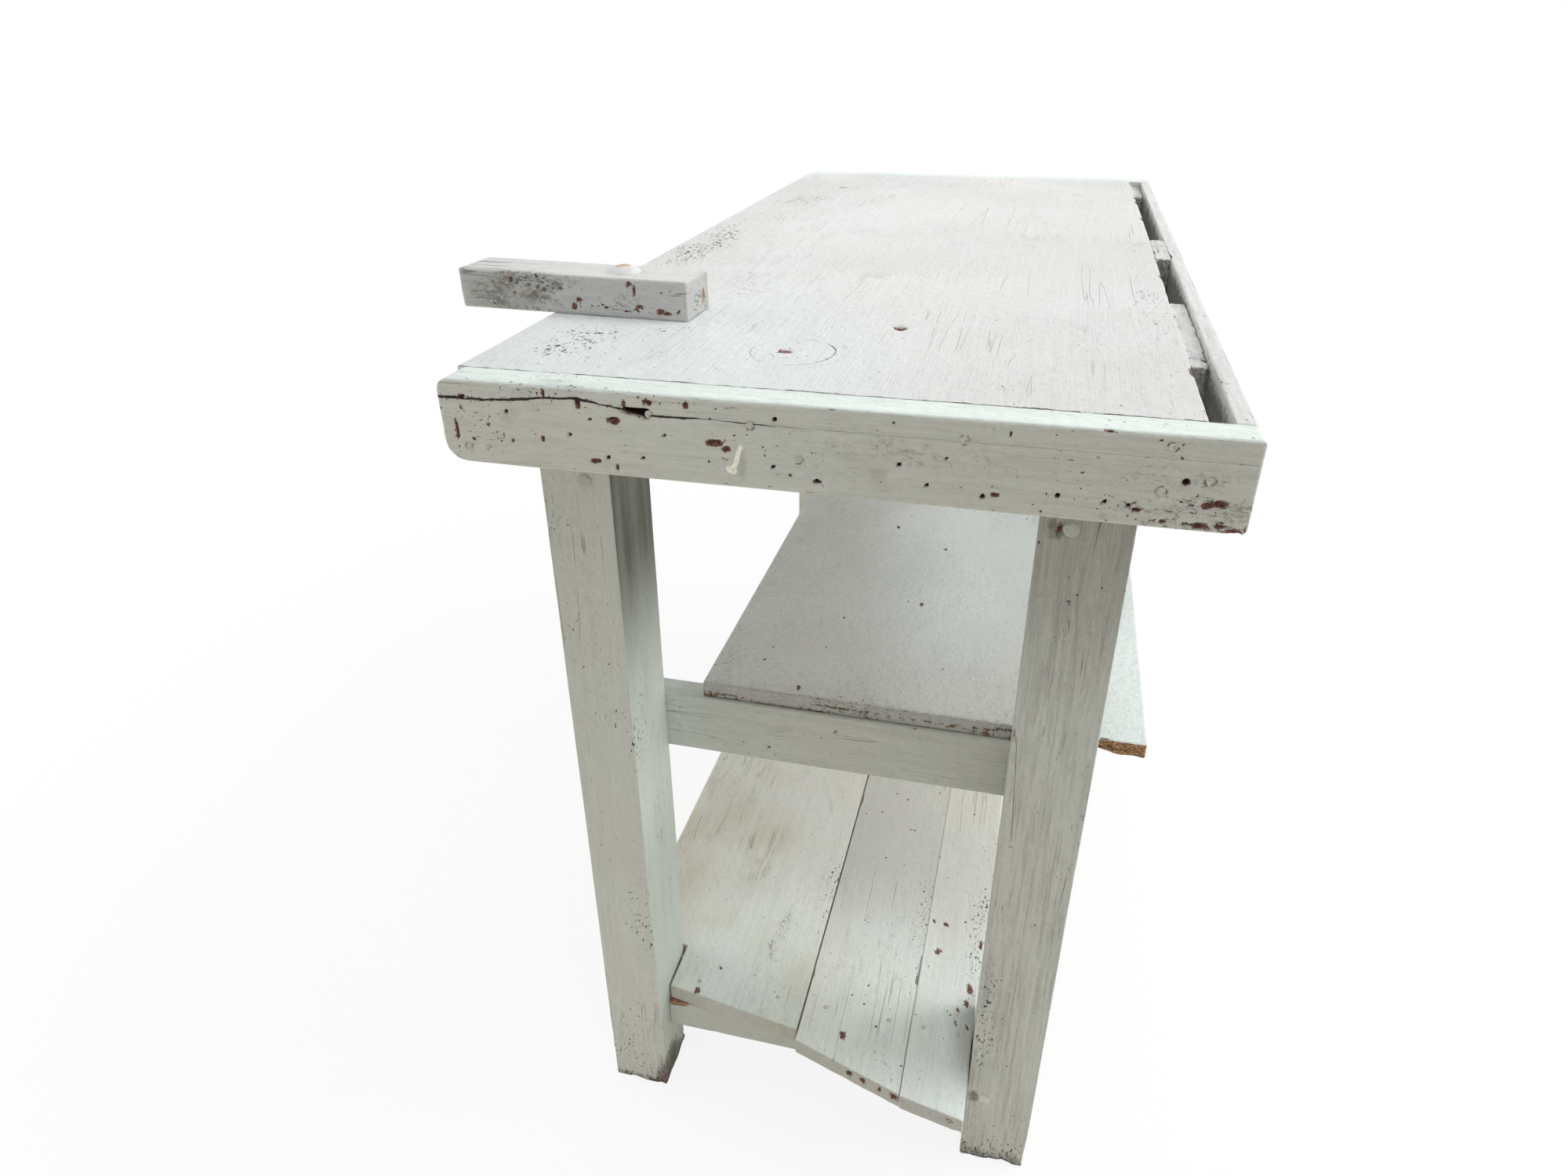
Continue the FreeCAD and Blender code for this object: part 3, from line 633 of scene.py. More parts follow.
    edge = (finish.noise(scale=430.0, detail=5.0, rough=0.75) - 0.51) * 2.7
    bare = finish.layer("bare") * 1.12 + (0.0050 - gap).rise(0.0, 0.0045) * split * 0.36
    bare = bare + edge * bare.rise(0.03, 0.35)
    inside = bare.rise(0.65, 1.35)
    bare = bare.rise(0.47, 0.53)
    cloud = finish.noise(finish.stretched(34.0, 62.0), detail=6.0, rough=0.75, bent=0.5)
    speck = finish.noise(finish.stretched(210.0, 330.0), detail=4.0, rough=0.75)
    # broken dirt, and painted shade where the grime layer darkens the tool slots and the top's
    # sides
    grime = finish.layer("grime") + (cloud - 0.5) * 1.8 + (speck - 0.5) * 1.7
    grime = grime.rise(0.30, 0.85) * finish.layer("grime").rise(0.01, 0.45) * (0.45 + broad)
    small = fleck.most(blot).most(holes).clamp()
    chipped = bare.most(small).clamp()
    pricked = pin.most(holes).clamp()

    scratch = finish.noise(finish.stretched(190.0, 15.0), detail=2.0, bent=0.7)
    scratch = scratch.rise(0.725, 0.755) * finish.noise(scale=9.0).rise(0.5, 0.64) * scuff

    tone = finish.mix(stain.clamp(), tone, BROWN_STAIN)
    tone = finish.mix(scratch, tone, tinted(colour, 1.3))
    tone = finish.mix((grime * 0.8).clamp(), tone, GRIME_AND_SHADE)
    # painted shade: the even shade layer darkens the paint towards the grime colour
    tone = finish.mix((finish.layer("soot") * (0.45 + broad)).clamp() * 0.92, tone, GRIME_AND_SHADE)
    inner = (inside + (finish.noise(scale=260.0, detail=4.0, rough=0.7) - 0.5) * 1.6).clamp()
    tone = finish.mix(dash.most(vein).clamp() * 0.85, tone, tinted(wood, 1.1))
    tone = finish.mix(small, tone, SPECK)
    tone = finish.mix(bare, tone, finish.mix(inner, RED_BROWN, tinted(wood, 0.45)))
    raw = finish.layer("raw")
    raw = (raw * 1.12 + edge * raw.rise(0.03, 0.35)).rise(0.47, 0.53)
    tone = finish.mix(raw, tone, finish.mix(speck.rise(0.35, 0.62), RAW_WOOD, RED_BROWN))
    tone = finish.mix(slit, tone, tinted(wood, 0.25))
    tone = finish.mix(pricked * 0.92, tone, tinted(wood, 0.5))
    # dark inside deep holes: dark old wood with painted shade
    tone = finish.mix(finish.layer("deep").rise(0.35, 0.70) * 0.95, tone, tinted(wood, 0.22))

    height = brush * (0.22 + 0.2 * lines) + broad * 0.35 + ridge * (0.60 * lines)
    height = height + strokes * (0.25 * fan)
    height = height + fine * 0.05 + lumps * 0.55 + scratch * 0.2 + grit * 0.22
    height = height - chipped * 0.85 - dash * 0.5 - vein * 0.7 - pricked * 1.3 - slit
    wet = finish.noise(scale=5.5, detail=4.0, rough=0.6).rise(0.40, 0.72) * gloss
    wet = wet * (0.4 + strokes.rise(-0.2, 0.25))
    rough = 0.60 - wet * 0.26 + (brush - 0.5) * 0.25 + chipped * 0.3 + rubbed * 0.15
    return finish.close(tone, rough.clamp(), finish.bump(height, 0.0034))


def panel_paint(name):
    """Rolled glossy paint over chipboard, raw and orange-brown where the board has broken."""
    colours = bpy.context.scene.old_paint
    colour, raw_colour = tuple(colours.panel_paint), tuple(colours.chipboard)
    wood = tuple(colours.bare_wood)
    finish = Finish(name, X)
    drift = finish.noise(scale=3.0, detail=3.0)
    tone = finish.mix(drift.rise(0.35, 0.68), tinted(colour, 0.93), tinted(colour, 1.05))
    pebble = finish.noise(scale=210.0, detail=3.0, rough=0.6, bent=0.3)
    uneven = finish.noise(scale=5.0, detail=2.0).rise(0.35, 0.65)
    coarse = finish.noise(finish.stretched(36.0, 60.0), detail=4.0, rough=0.6, bent=0.6)
    # darker where the pebbled paint lies low: painted shade in its hollows
    tone = finish.mix(pebble.rise(0.30, 0.52), tinted(colour, 0.88), tone)
    smear = finish.noise(finish.stretched(11.0, 30.0), detail=4.0, rough=0.65, bent=0.5)
    smear = smear.rise(0.50, 0.72) * finish.noise(scale=7.0).rise(0.48, 0.66)
    tone = finish.mix(smear * 0.30, tone, SMUDGE)
    many = finish.noise(scale=10.0, detail=3.0) * 0.20 + finish.layer("flecks") * 0.10 - 0.13
    fleck = (finish.noise(scale=300.0, detail=4.0, rough=0.7) + many).rise(0.685, 0.70)
    pins = finish.spots(scale=80.0, reach=0.14, share=0.14)
    edge = finish.layer("bare") * 1.1
    grit = finish.noise(scale=330.0, detail=4.0, rough=0.7) - 0.5
    edge = edge + grit * 1.5 * edge.rise(0.03, 0.3)
    chipped = fleck.most(edge.rise(0.46, 0.56)).clamp()
    grime = finish.layer("grime") * (0.2 + 1.4 * finish.noise(scale=90.0, detail=5.0, rough=0.7))
    # painted light: the cool layer makes the panel cooler and lighter, and the pale layer is a
    # painted sheen
    tone = finish.mix(finish.layer("cool"), tone, PANEL_COOL, "MULTIPLY")
    tone = finish.mix(finish.layer("pale"), tone, PANEL_PAINTED_LIGHT, "MULTIPLY")
    tone = finish.mix(grime.clamp(), tone, GRIME_AND_SHADE)
    inner = finish.noise(scale=240.0, detail=3.0).rise(0.35, 0.65)
    tone = finish.mix(chipped, tone, finish.mix(inner, tinted(wood, 0.6), tinted(raw_colour, 0.75)))
    tone = finish.mix(pins * 0.9, tone, tinted(wood, 0.5))
    flake = finish.cells(finish.stretched(330.0, 560.0), 1.0)[1]
    board = finish.mix(flake, tinted(raw_colour, 0.5), tinted(raw_colour, 1.5))
    crumbs = finish.noise(scale=380.0, detail=4.0, rough=0.7).rise(0.56, 0.66)
    board = finish.mix(crumbs * 0.85, board, tinted(raw_colour, 0.16))
    raw = finish.layer("raw") * 1.1
    torn = finish.noise(scale=200.0, detail=4.0, rough=0.7) - 0.5
    raw = raw + torn * 0.9 * raw.rise(0.03, 0.3)
    raw = raw.rise(0.46, 0.54)
    tone = finish.mix(raw, tone, board)
    height = pebble * (0.60 + 0.60 * uneven) + coarse * 0.35 - chipped * 0.7 - pins * 0.8
    height = height + raw * (flake * 1.3 - crumbs * 1.2)
    wet = finish.noise(scale=6.0, detail=2.0).rise(0.35, 0.65)
    rough = (0.25 - wet * 0.05 + chipped * 0.3 + raw * 0.4 + grime * 0.3).clamp()
    return finish.close(tone, rough, finish.bump(height, 0.0028))


def old_iron(name, colour, rust, painted=0.0):
    """Iron with rust, painted over to the given share."""
    finish = Finish(name)
    cover = finish.noise(scale=240.0, detail=4.0, rough=0.65)
    rusty = cover.rise(0.62 - 0.35 * rust, 0.80 - 0.35 * rust)
    mottle = finish.noise(scale=400.0).rise(0.3, 0.7)
    tone = finish.mix(mottle, tinted(colour, 0.8), tinted(colour, 1.1))
    tone = finish.mix(rusty, tone, RUST)
    height = cover * 0.6 + finish.noise(scale=900.0, detail=3.0) * 0.4
    metal = (0.85 * (1.0 - painted)) * (1.0 - rusty)
    rough = (0.45 + 0.15 * painted + rusty * 0.3).clamp()
    return finish.close(tone, rough, finish.bump(height, 0.0004), metal)


def dome_paint(name):
    """Thick pale paint on the bolt's dome, worn to yellow rust on its crown."""
    colour = tuple(bpy.context.scene.old_paint.top_paint)
    finish = Finish(name)
    crown = finish.add("ShaderNodeSeparateXYZ", None, {0: finish.place})
    height = Wire(finish, crown.outputs[2])
    top = float(span("pivot_bolt")[1][Z])
    worn = height + finish.noise(scale=330.0, detail=4.0) * 0.004
    worn = worn.rise(top + 0.0001, top + 0.0024)
    mottle = finish.noise(scale=160.0, detail=3.0)
    tone = finish.mix(mottle, tinted(colour, 0.9), tinted(colour, 1.08))
    tone = finish.mix(worn * 0.85, tone, YELLOW_RUST)
    bumps = finish.noise(scale=420.0, detail=3.0)
    return finish.close(tone, 0.5, finish.bump(bumps, 0.0005))


MATERIALS = {}


def paints():
    """Every material of the bench, made once."""
    if MATERIALS:
        return MATERIALS
    tint = bpy.context.scene.old_paint
    frame_paint, top = tuple(tint.frame_paint), tuple(tint.top_paint)
    plank = tuple(tint.plank_paint)
    MATERIALS.update({
        "top": old_paint("top_paint", X, top, lines=0.06, thin=0.25, flecks=0.25, scuff=0.35,
                         smudge=0.30, gloss=0.8, fan=0.5, calm=0.6),
        "cap": old_paint("cap_paint", Y, tinted(frame_paint, 1.06), lines=0.25, thin=0.5,
                         flecks=0.45, scuff=0.5, smudge=0.5),
        "back_rail": old_paint("back_rail_paint", X, top, lines=0.4, thin=0.5, flecks=0.8),
        "spacer": old_paint("spacer_paint", X, tinted(top, 0.95), lines=0.5, thin=0.8,
                            flecks=0.9, smudge=0.8),
        "leg": old_paint("leg_paint", Z, tinted(frame_paint, 1.04), lines=0.12, thin=0.40,
                         flecks=0.35, scuff=0.5, smudge=0.35),
        "grained_leg": old_paint("grained_leg_paint", Z, tinted(frame_paint, 0.99), lines=0.80,
                                 thin=0.7, flecks=0.2, scuff=0.3, smudge=0.6),
        "rail": old_paint("rail_paint", Y, tinted(frame_paint, 0.97), lines=0.2, thin=0.3,
                          flecks=0.2, scuff=0.4, smudge=0.35),
        "side_rail": old_paint("side_rail_paint", X, frame_paint, lines=0.5, thin=0.5),
        "plank": old_paint("plank_paint", X, tinted(plank, 0.91), lines=0.12, thin=0.3,
                           flecks=0.4, worm=0.7, yellow=0.30, scuff=0.2, smudge=0.25, fan=0.15),
        "smooth_plank": old_paint("smooth_plank_paint", X, tinted(plank, 1.08), lines=0.15,
                                  thin=0.3, flecks=0.2, worm=0.15, yellow=0.9, smudge=0.5,
                                  fan=0.35),
        # the stop is darker than the top paint: painted shade for its shadowed near side
        "stop": old_paint("shaded_stop_paint", Y, tinted(top, 0.955), lines=0.25, thin=0.7,
                          flecks=0.5, smudge=1.1),
        # the pegs are lighter than the leg paint: a painted highlight on their ends
        "peg": old_paint("highlighted_peg_paint", X, tinted(frame_paint, 1.14), lines=0.2, thin=0.1),
        # the dowels are darker than the leg paint: painted shade, as under the cap
        "dowel": old_paint("shaded_dowel_paint", X, tinted(frame_paint, 0.86), lines=0.2, thin=0.1),
        "panel": panel_paint("panel_paint"),
        "dome": dome_paint("dome_paint"),
        "iron": old_iron("dull_iron", (0.16, 0.14, 0.125), 0.5),
        "nail": old_iron("painted_nail", tinted(frame_paint, 0.92), 0.25, painted=1.0),
        "hook": old_iron("painted_hook", (0.94, 0.92, 0.80), 0.08, painted=1.0),
    })
    return MATERIALS


# Places that the photo shows, in metres from the bench's near face and front edge

def on_top(back_from_near, in_from_front):
    """A place on the bench's top."""
    return (NEAR_FACE - back_from_near, SLAB_FRONT + in_from_front, BENCH_TOP)


def on_cap(in_from_front, height):
    """A place on the near end cap's outer face."""
    return (NEAR_FACE, SLAB_FRONT + in_from_front, height)


# the crack along the cap: across and height, and across and how open it is
CAP_CRACK = ((-0.004, 0.8370), (0.020, 0.8365), (0.036, 0.8372), (0.048, 0.8380),
             (0.077, 0.8412), (0.103, 0.8428), (0.120, 0.8402), (0.133, 0.8385),
             (0.155, 0.8350), (0.190, 0.8360), (0.224, 0.8350))
CRACK_OPEN = ((-0.01, 1.0), (0.04, 1.0), (0.075, 0.8), (0.120, 0.8), (0.135, 1.0), (0.16, 0.8),
              (0.22, 0.35), (0.26, 0.0))
CAP_SLOT = ((0.1370, 0.8372), (0.1500, 0.8358))
# round holes in the cap: across, height and radius
CAP_HOLES = ((0.050, 0.830, 0.0016), (0.052, 0.809, 0.0012), (0.095, 0.817, 0.0016),
             (0.163, 0.822, 0.0013), (0.111, 0.829, 0.0012), (0.122, 0.803, 0.0015),
             (0.147, 0.805, 0.0014), (0.238, 0.839, 0.0018), (0.237, 0.807, 0.0014),
             (0.266, 0.800, 0.0016), (0.348, 0.823, 0.0013), (0.319, 0.816, 0.0016),
             (0.337, 0.804, 0.0013), (0.372, 0.800, 0.0017), (0.417, 0.805, 0.0017),
             (0.445, 0.804, 0.0014), (0.459, 0.803, 0.0013), (0.489, 0.821, 0.0026))
# chips in the cap: across, height, half width and half height
CAP_CHIPS = ((0.018, 0.8385, 0.0040, 0.0020), (0.079, 0.8445, 0.0016, 0.0035),
             (0.103, 0.8400, 0.0018, 0.0050), (0.128, 0.8300, 0.0050, 0.0030),
             (0.136, 0.8420, 0.0022, 0.0030), (0.152, 0.8440, 0.0060, 0.0018),
             (0.179, 0.8440, 0.0020, 0.0028), (0.200, 0.8200, 0.0075, 0.0028),
             (0.206, 0.8165, 0.0030, 0.0022), (0.114, 0.8000, 0.0055, 0.0022),
             (0.385, 0.8430, 0.0018, 0.0045), (0.379, 0.8020, 0.0028, 0.0020),
             (0.266, 0.7995, 0.0048, 0.0016), (0.010, 0.8120, 0.0016, 0.0120),
             (0.022, 0.8080, 0.0022, 0.0016), (0.510, 0.8090, 0.0040, 0.0022),
             (0.075, 0.8130, 0.0014, 0.0028), (0.128, 0.7965, 0.0014, 0.0040),
             (0.464, 0.8007, 0.0032, 0.0016), (0.479, 0.7950, 0.0060, 0.0022),
             (0.501, 0.7940, 0.0075, 0.0024), (0.514, 0.7948, 0.0050, 0.0018),
             (0.522, 0.7920, 0.0060, 0.0028), (0.503, 0.8075, 0.0040, 0.0020))
# wear of the cap: its kind, across, height, half width, half height and amount
CAP_WEAR = (("flecks", 0.500, 0.803, 0.10, 0.03, 0.6), ("flecks", 0.015, 0.815, 0.05, 0.03, 0.6),
            ("flecks", 0.130, 0.843, 0.16, 0.012, 0.5), ("flecks", 0.440, 0.815, 0.14, 0.03, 0.35),
            ("flecks", 0.525, 0.792, 0.06, 0.012, 1.2),
            ("grime", 0.505, 0.799, 0.10, 0.025, 0.45), ("grime", 0.330, 0.824, 0.12, 0.016, 0.36),
            ("grime", 0.470, 0.822, 0.10, 0.022, 0.30))
NEAR_NAIL_SPOTS = ((0.018, 0.802), (0.043, 0.812), (0.153, 0.836), (0.222, 0.834),
                   (0.254, 0.814), (0.358, 0.836),
                   (0.478, 0.842), (0.476, 0.814), (0.502, 0.823))
# thick patches of small chips on the top: from the near face, from the front edge, two sizes
TOP_FLECKS = ((0.100, 0.055, 0.085, 0.050, 1.0), (0.500, 0.030, 0.250, 0.040, 0.9),
              (0.800, 0.060, 0.200, 0.060, 0.7), (0.120, 0.215, 0.040, 0.045, 0.5),
              (0.330, 0.130, 0.100, 0.060, 0.4), (0.400, 0.480, 0.500, 0.020, 0.5),
              (0.170, 0.140, 0.040, 0.090, 0.4), (0.060, 0.330, 0.030, 0.200, 0.25))


class WORKBENCH_OT_top(bpy.types.Operator):
    """Make the top slab, worn pale by use"""

    bl_idname = "workbench.top"
    bl_label = "Top slab"

    def execute(self, context):
        slab = Timber(SLAB_LOW, SLAB_HIGH, X, (0.0042, 0.0040, 0.006), seed=3, sway=0.0006,
                      tight=((X, LOW_END), (X, HIGH_END)))
        slab.dent(on_top(0.2001, 0.288), (0.0066, 0.0056, 0.01), 0.006, ragged=0.1)
        slab.dent(on_top(0.116, 0.216), (0.0060, 0.0075, 0.01), 0.0015, bare=0.8)
        slab.dent(on_top(0.976, 0.087), 0.006, 0.003, bare=0.9)
        for near, front, long, wide, amount in TOP_FLECKS:
            slab.patch("flecks", on_top(near, front), (long, wide, 0.02), amount)
        # painted cooler light on the near front corner of the top
        slab.patch("cool", on_top(0.05, 0.10), (0.35, 0.30, 0.02), 0.5)
        upper = ease(slab.normals[:, Z], 0.2, 0.6)
        slab.hairline(slab.points[:, X] - SLAB_HIGH[X] + 0.0004, 0.26 * upper)
        knot = np.array(on_top(0.116, 0.222))
        oval = (slab.points - knot)[:, :2] / (0.034, 0.031)
        broken = ease(smooth_noise(slab.points, 42, 29), -0.35, 0.45)
        slab.hairline((np.linalg.norm(oval, axis=1) - 1) * 0.0325, 0.35 * upper * broken)
        back_gap = ease(slab.points[:, Y], SLAB_HIGH[Y] - 0.004, SLAB_HIGH[Y] - 0.001)
        ragged = rough_noise(slab.points, (45, 20, 20), 77)
        slab.points[:, Y] -= back_gap * np.clip(ragged, 0, 1) * 0.0022
        slab.more("bare", back_gap * ease(ragged, 0.2, 0.5) * 0.8)
        # the slab's sides and underside are darker, most on its back face in the tool slots: dirt,
        # and painted shade in the slots
        lower = ease(-slab.points[:, Z], -BENCH_TOP + 0.003, -BENCH_TOP + 0.02)
        behind = ease(slab.points[:, Y], SLAB_HIGH[Y] - 0.004, SLAB_HIGH[Y] - 0.001)
        slab.more("grime", lower * (0.4 + 0.5 * behind))
        settle(slab.piece("top_slab_worn"), paints()["top"], "top_slab", BENCH)
        return {"FINISHED"}


class WORKBENCH_OT_caps(bpy.types.Operator):
    """Make the two end caps, the near one with its crack, holes and chips"""

    bl_idname = "workbench.caps"
    bl_label = "End caps"
    low_corner: FloatProperty(name="Low corner", description="Size of the trimmed low corner",
                              default=0.020, unit="LENGTH")

    def round_off(self, board, side, level, radius):
        """Rounds one corner of the cap's outline with three cuts."""
        outer_y = (board.high if side > 0 else board.low)[Y]
        outer_z = (board.high if level > 0 else board.low)[Z]
        centre = np.array([0, outer_y - side * radius, outer_z - level * radius])
        for angle in (math.radians(18), math.radians(45), math.radians(72)):
            normal = np.array([0, side * math.cos(angle), level * math.sin(angle)])
            board.trim(centre + normal * radius, normal, 0.0006)

    def cap(self, node, seed, fine, inner_end):
        """One cap with its four corners rounded off. Fine is the step of its grid."""
        low, high = span(node)
        board = Timber(low, high, Y, (0.0040, fine, fine), seed=seed, sway=0.0005,
                       arris=0.004, tight=((X, inner_end),))
        for side, level, radius in ((-1, -1, self.low_corner), (-1, 1, 0.011), (1, 1, 0.004),
                                    (1, -1, 0.005)):
            self.round_off(board, side, level, radius)
        # painted light: the caps' top faces are cooler and lighter
        board.cool = np.clip(board.normals[:, Z], 0, 1)
        board.pale = board.cool * 0.4
        return board

    def execute(self, context):
        near = self.cap("near_end_cap", 11, 0.0012, LOW_END)
        along = near.points[:, Y] - SLAB_FRONT
        level = np.interp(along, *zip(*CAP_CRACK))
        face = ease(near.normals[:, X], 0.2, 0.6)
        near.hairline(near.points[:, Z] - level, face * np.interp(along, *zip(*CRACK_OPEN)))
        near.crack([on_cap(*spot) for spot in CAP_SLOT], 0.0040, 0.0080)
        for across, height, radius in CAP_HOLES:
            near.dent(on_cap(across, height), radius, 0.004, ragged=0.1)
        for across, height, wide, tall in CAP_CHIPS:
            near.dent(on_cap(across, height), (0.005, wide * 0.9, tall * 0.9), 0.0014, ragged=1.0)
        for spot in NEAR_NAIL_SPOTS:
            near.ring(on_cap(*spot), 0.0030, 0.30, 0.0005)
        # painted shade: the near cap's face darkens towards the back end
        near.soot = face * ease(along, 0.10, 0.50) * 0.12
        # painted shadow of the bent nail on the cap
        near.patch("soot", on_cap(0.2165, 0.806), (0.01, 0.0045, 0.014), 0.30)
        for kind, across, height, wide, tall, amount in CAP_WEAR:
            near.patch(kind, on_cap(across, height), (0.02, wide, tall), amount)
        settle(near.piece("near_cap_worn"), paints()["cap"], "near_end_cap", BENCH)
        far = self.cap("far_end_cap", 13, 0.003, HIGH_END)
        settle(far.piece("far_cap_worn"), paints()["cap"], "far_end_cap", BENCH)
        return {"FINISHED"}


class WORKBENCH_OT_slots(bpy.types.Operator):
    """Make the back rail and the spacers that part the tool slots"""

    bl_idname = "workbench.slots"
    bl_label = "Back rail and spacers"

    def execute(self, context):
        low, high = span("back_rail")
        rail = Timber(low, high, X, 0.0035, seed=17, arris=0.0025, sway=0.0005,
                      tight=((X, LOW_END), (X, HIGH_END)))
        # the rail's inner face in the tool slots is darker, most low down: dirt and painted shade
        # in the slots
        below = ease(-rail.points[:, Z], -high[Z] + 0.002, -high[Z] + 0.014)
        rail.grime = np.clip(-rail.normals[:, Y], 0, 1) * (0.35 + 0.5 * below)
        settle(rail.piece("back_rail_worn"), paints()["back_rail"], "back_rail", BENCH)
        for seed, name, worn in ((19, "near", 1.0), (21, "middle", 0.25), (23, "far", 0.5)):
            low, high = span(name + "_spacer")
            block = Timber(low, high, X, 0.0022, seed=seed, arris=0.0025)
            top = ease(block.points[:, Z], high[Z] - 0.006, high[Z] - 0.002)
            rough = rough_noise(block.points, (60, 110, 60), seed)
            block.points[:, Z] -= top * worn * 0.0022 * (1 + rough)
            # the spacers' ends face into the tool slots: painted shade in the slots
            block.grime = np.clip(np.abs(block.normals[:, X]), 0, 1) * 0.7
            block.more("grime", top * worn * ease(rough, 0.0, 0.6) * 0.5)
            block.more("bare", top * worn * ease(rough, 0.42, 0.7) * 0.8)
            settle(block.piece(name + "_spacer_worn"), paints()["spacer"], name + "_spacer",
                   BENCH)
        return {"FINISHED"}


class WORKBENCH_OT_legs(bpy.types.Operator):
    """Make the four legs, with rotted feet"""

    bl_idname = "workbench.legs"
    bl_label = "Legs"

    def rot_foot(self, leg, depth, height, dirty):
        """Eats the foot away unevenly, most at its arrises and its lowest part."""
        low_part = ease(-leg.points[:, Z], -height, 0.0)
        eaten = np.clip(0.35 + rough_noise(leg.points, (55, 55, 30), leg.seed + 41), 0, 1)
        sides = leg.normals * np.array([1, 1, 0])
        arris = 0.35 + 0.65 * leg.arrisness
        leg.points -= sides * (depth * low_part * eaten * arris)[:, None]
        bottom = ease(-leg.points[:, Z], -0.006, 0.0)
        ragged = np.clip(rough_noise(leg.points, 60, leg.seed + 43), 0, 1)
        leg.points[:, Z] += bottom * ragged * 0.007
        fibre = rough_noise(leg.points, (140, 140, 45), leg.seed + 47)
        rotted = ease(-leg.points[:, Z], -dirty, 0.0)
        leg.more("bare", rotted * ease(fibre, -0.1, 0.6) * 0.8)
        leg.more("grime", rotted * 0.7)
        leg.more("flecks", low_part * 0.8)

    def execute(self, context):
        under_slab = SLAB_LOW[Z] - 0.0002
        for seed, end, side, foot, dirty in (
                (31, "near", "front", 0.004, 0.022), (33, "near", "back", 0.008, 0.040),
                (35, "far", "front", 0.005, 0.040), (37, "far", "back", 0.006, 0.040)):
            node = "%s_%s_leg" % (end, side)
            low, high = span(node)
            high[Z] = under_slab
            fine = 0.0030 if end == "near" else 0.005
            leg = Timber(low, high, Z, fine, seed=seed, sway=0.0007, arris=0.0018)
            self.rot_foot(leg, foot, 0.09, dirty)
            # painted cooler light on the faces that turn to the back
            leg.cool = ease(leg.normals[:, Y], 0.5, 0.8)
            shaded = 1.0 if side == "front" else 0.12
            # painted shade under the slab on the inner faces: full on the front legs, faint on the
            # back legs
            leg.soot = leg.cool * ease(leg.points[:, Z], 0.55, 0.68) * shaded
            # a little painted shade near the top of the other faces, under the slab and the cap
            leg.soot += (1 - leg.cool) * ease(leg.points[:, Z], 0.62, 0.80) * 0.12
            if side == "front":
                # painted light on the front legs' inner faces lower down
                leg.pale = leg.cool * ease(leg.points[:, Z], 0.30, 0.42) * 0.9
                leg.pale *= ease(-leg.points[:, Z], -0.60, -0.50)
                # painted shade in the notch where the first plank meets the leg
                leg.patch("soot", (low[X] + 0.012, high[Y], 0.121), (0.036, 0.02, 0.015), 1.0)
            if node == "near_front_leg":
                leg.trim((low[X] + 0.013, high[Y] - 0.006, 0.0), (-1, 1, -0.12), 0.006)
                leg.patch("grime", (high[X], high[Y], 0.0), (0.09, 0.02, 0.075), 1.0)
                leg.patch("bare", (high[X], high[Y], 0.0), (0.06, 0.018, 0.050), 0.45)
                leg.patch("flecks", (high[X], high[Y], 0.47), (0.05, 0.012, 0.06), 0.7)
                leg.patch("grime", (high[X] - 0.04, high[Y], 0.36), (0.025, 0.02, 0.12), 0.30)
                leg.patch("flecks", (high[X], high[Y] - 0.01, 0.27), (0.02, 0.02, 0.10), 0.7)
            if node == "near_back_leg":
                # painted shade at the top of the leg, under the cap's overhang
                leg.more("soot", ease(leg.points[:, Z], 0.56, 0.76) * 0.36)
                leg.dent((high[X], SLAB_FRONT + 0.4254, 0.7420), (0.006, 0.0014, 0.0052), 0.003,
                         ragged=0.2)
                leg.patch("flecks", (high[X], low[Y] + 0.008, 0.22), (0.02, 0.02, 0.11), 1.0)
                leg.patch("grime", (high[X], low[Y] + 0.012, 0.741), (0.012, 0.013, 0.016), 0.7)
                leg.patch("grime", (high[X], low[Y] + 0.0065, 0.098), (0.012, 0.010, 0.015), 1.0)
            paint = "grained_leg" if side == "back" else "leg"
            settle(leg.piece(node + "_worn"), paints()[paint], node, BENCH)
        return {"FINISHED"}


class WORKBENCH_OT_rails(bpy.types.Operator):
    """Make the side rails, shelf rails and foot rails"""

    bl_idname = "workbench.rails"
    bl_label = "Rails"

    def execute(self, context):
        for seed, node, grain, paint, step in ((51, "front_side_rail", X, "side_rail", 0.006),
                                               (52, "back_side_rail", X, "side_rail", 0.006),
                                               (53, "near_shelf_rail", Y, "rail", 0.003),
                                               (54, "far_shelf_rail", Y, "rail", 0.004)):
            low, high = span(node)
            rail = Timber(low, high, grain, step, seed=seed, arris=0.0026)
            if node == "near_shelf_rail":
                rail.dent((high[X], SLAB_FRONT + 0.2498, 0.4703), (0.01, 0.0034, 0.0018), 0.0038)
                rail.patch("grime", (high[X], SLAB_FRONT + 0.425, 0.455), (0.02, 0.035, 0.06), 0.6)
                # painted cooler light on the rail's front end
                rail.cool = ease(-rail.points[:, Y], -SLAB_FRONT - 0.16, -SLAB_FRONT - 0.06)
            settle(rail.piece(node + "_worn"), paints()[paint], node, BENCH)
        inner = (span("near_front_leg")[1][Y], span("near_back_leg")[0][Y])
        for seed, node in ((57, "near_foot_rail"), (59, "far_foot_rail")):
            low, high = span(node)
            low[Y], high[Y] = inner
            rail = Timber(low, high, Y, 0.0026, seed=seed, chip=0.003)
            rail.patch("raw", (high[X], SLAB_FRONT + 0.0900, high[Z]), (0.024, 0.020, 0.007), 1.2)
            rail.dent((high[X] - 0.004, SLAB_FRONT + 0.0853, high[Z]), (0.010, 0.006, 0.006), 0.002)
            settle(rail.piece(node + "_worn"), paints()["rail"], node, BENCH)
        return {"FINISHED"}


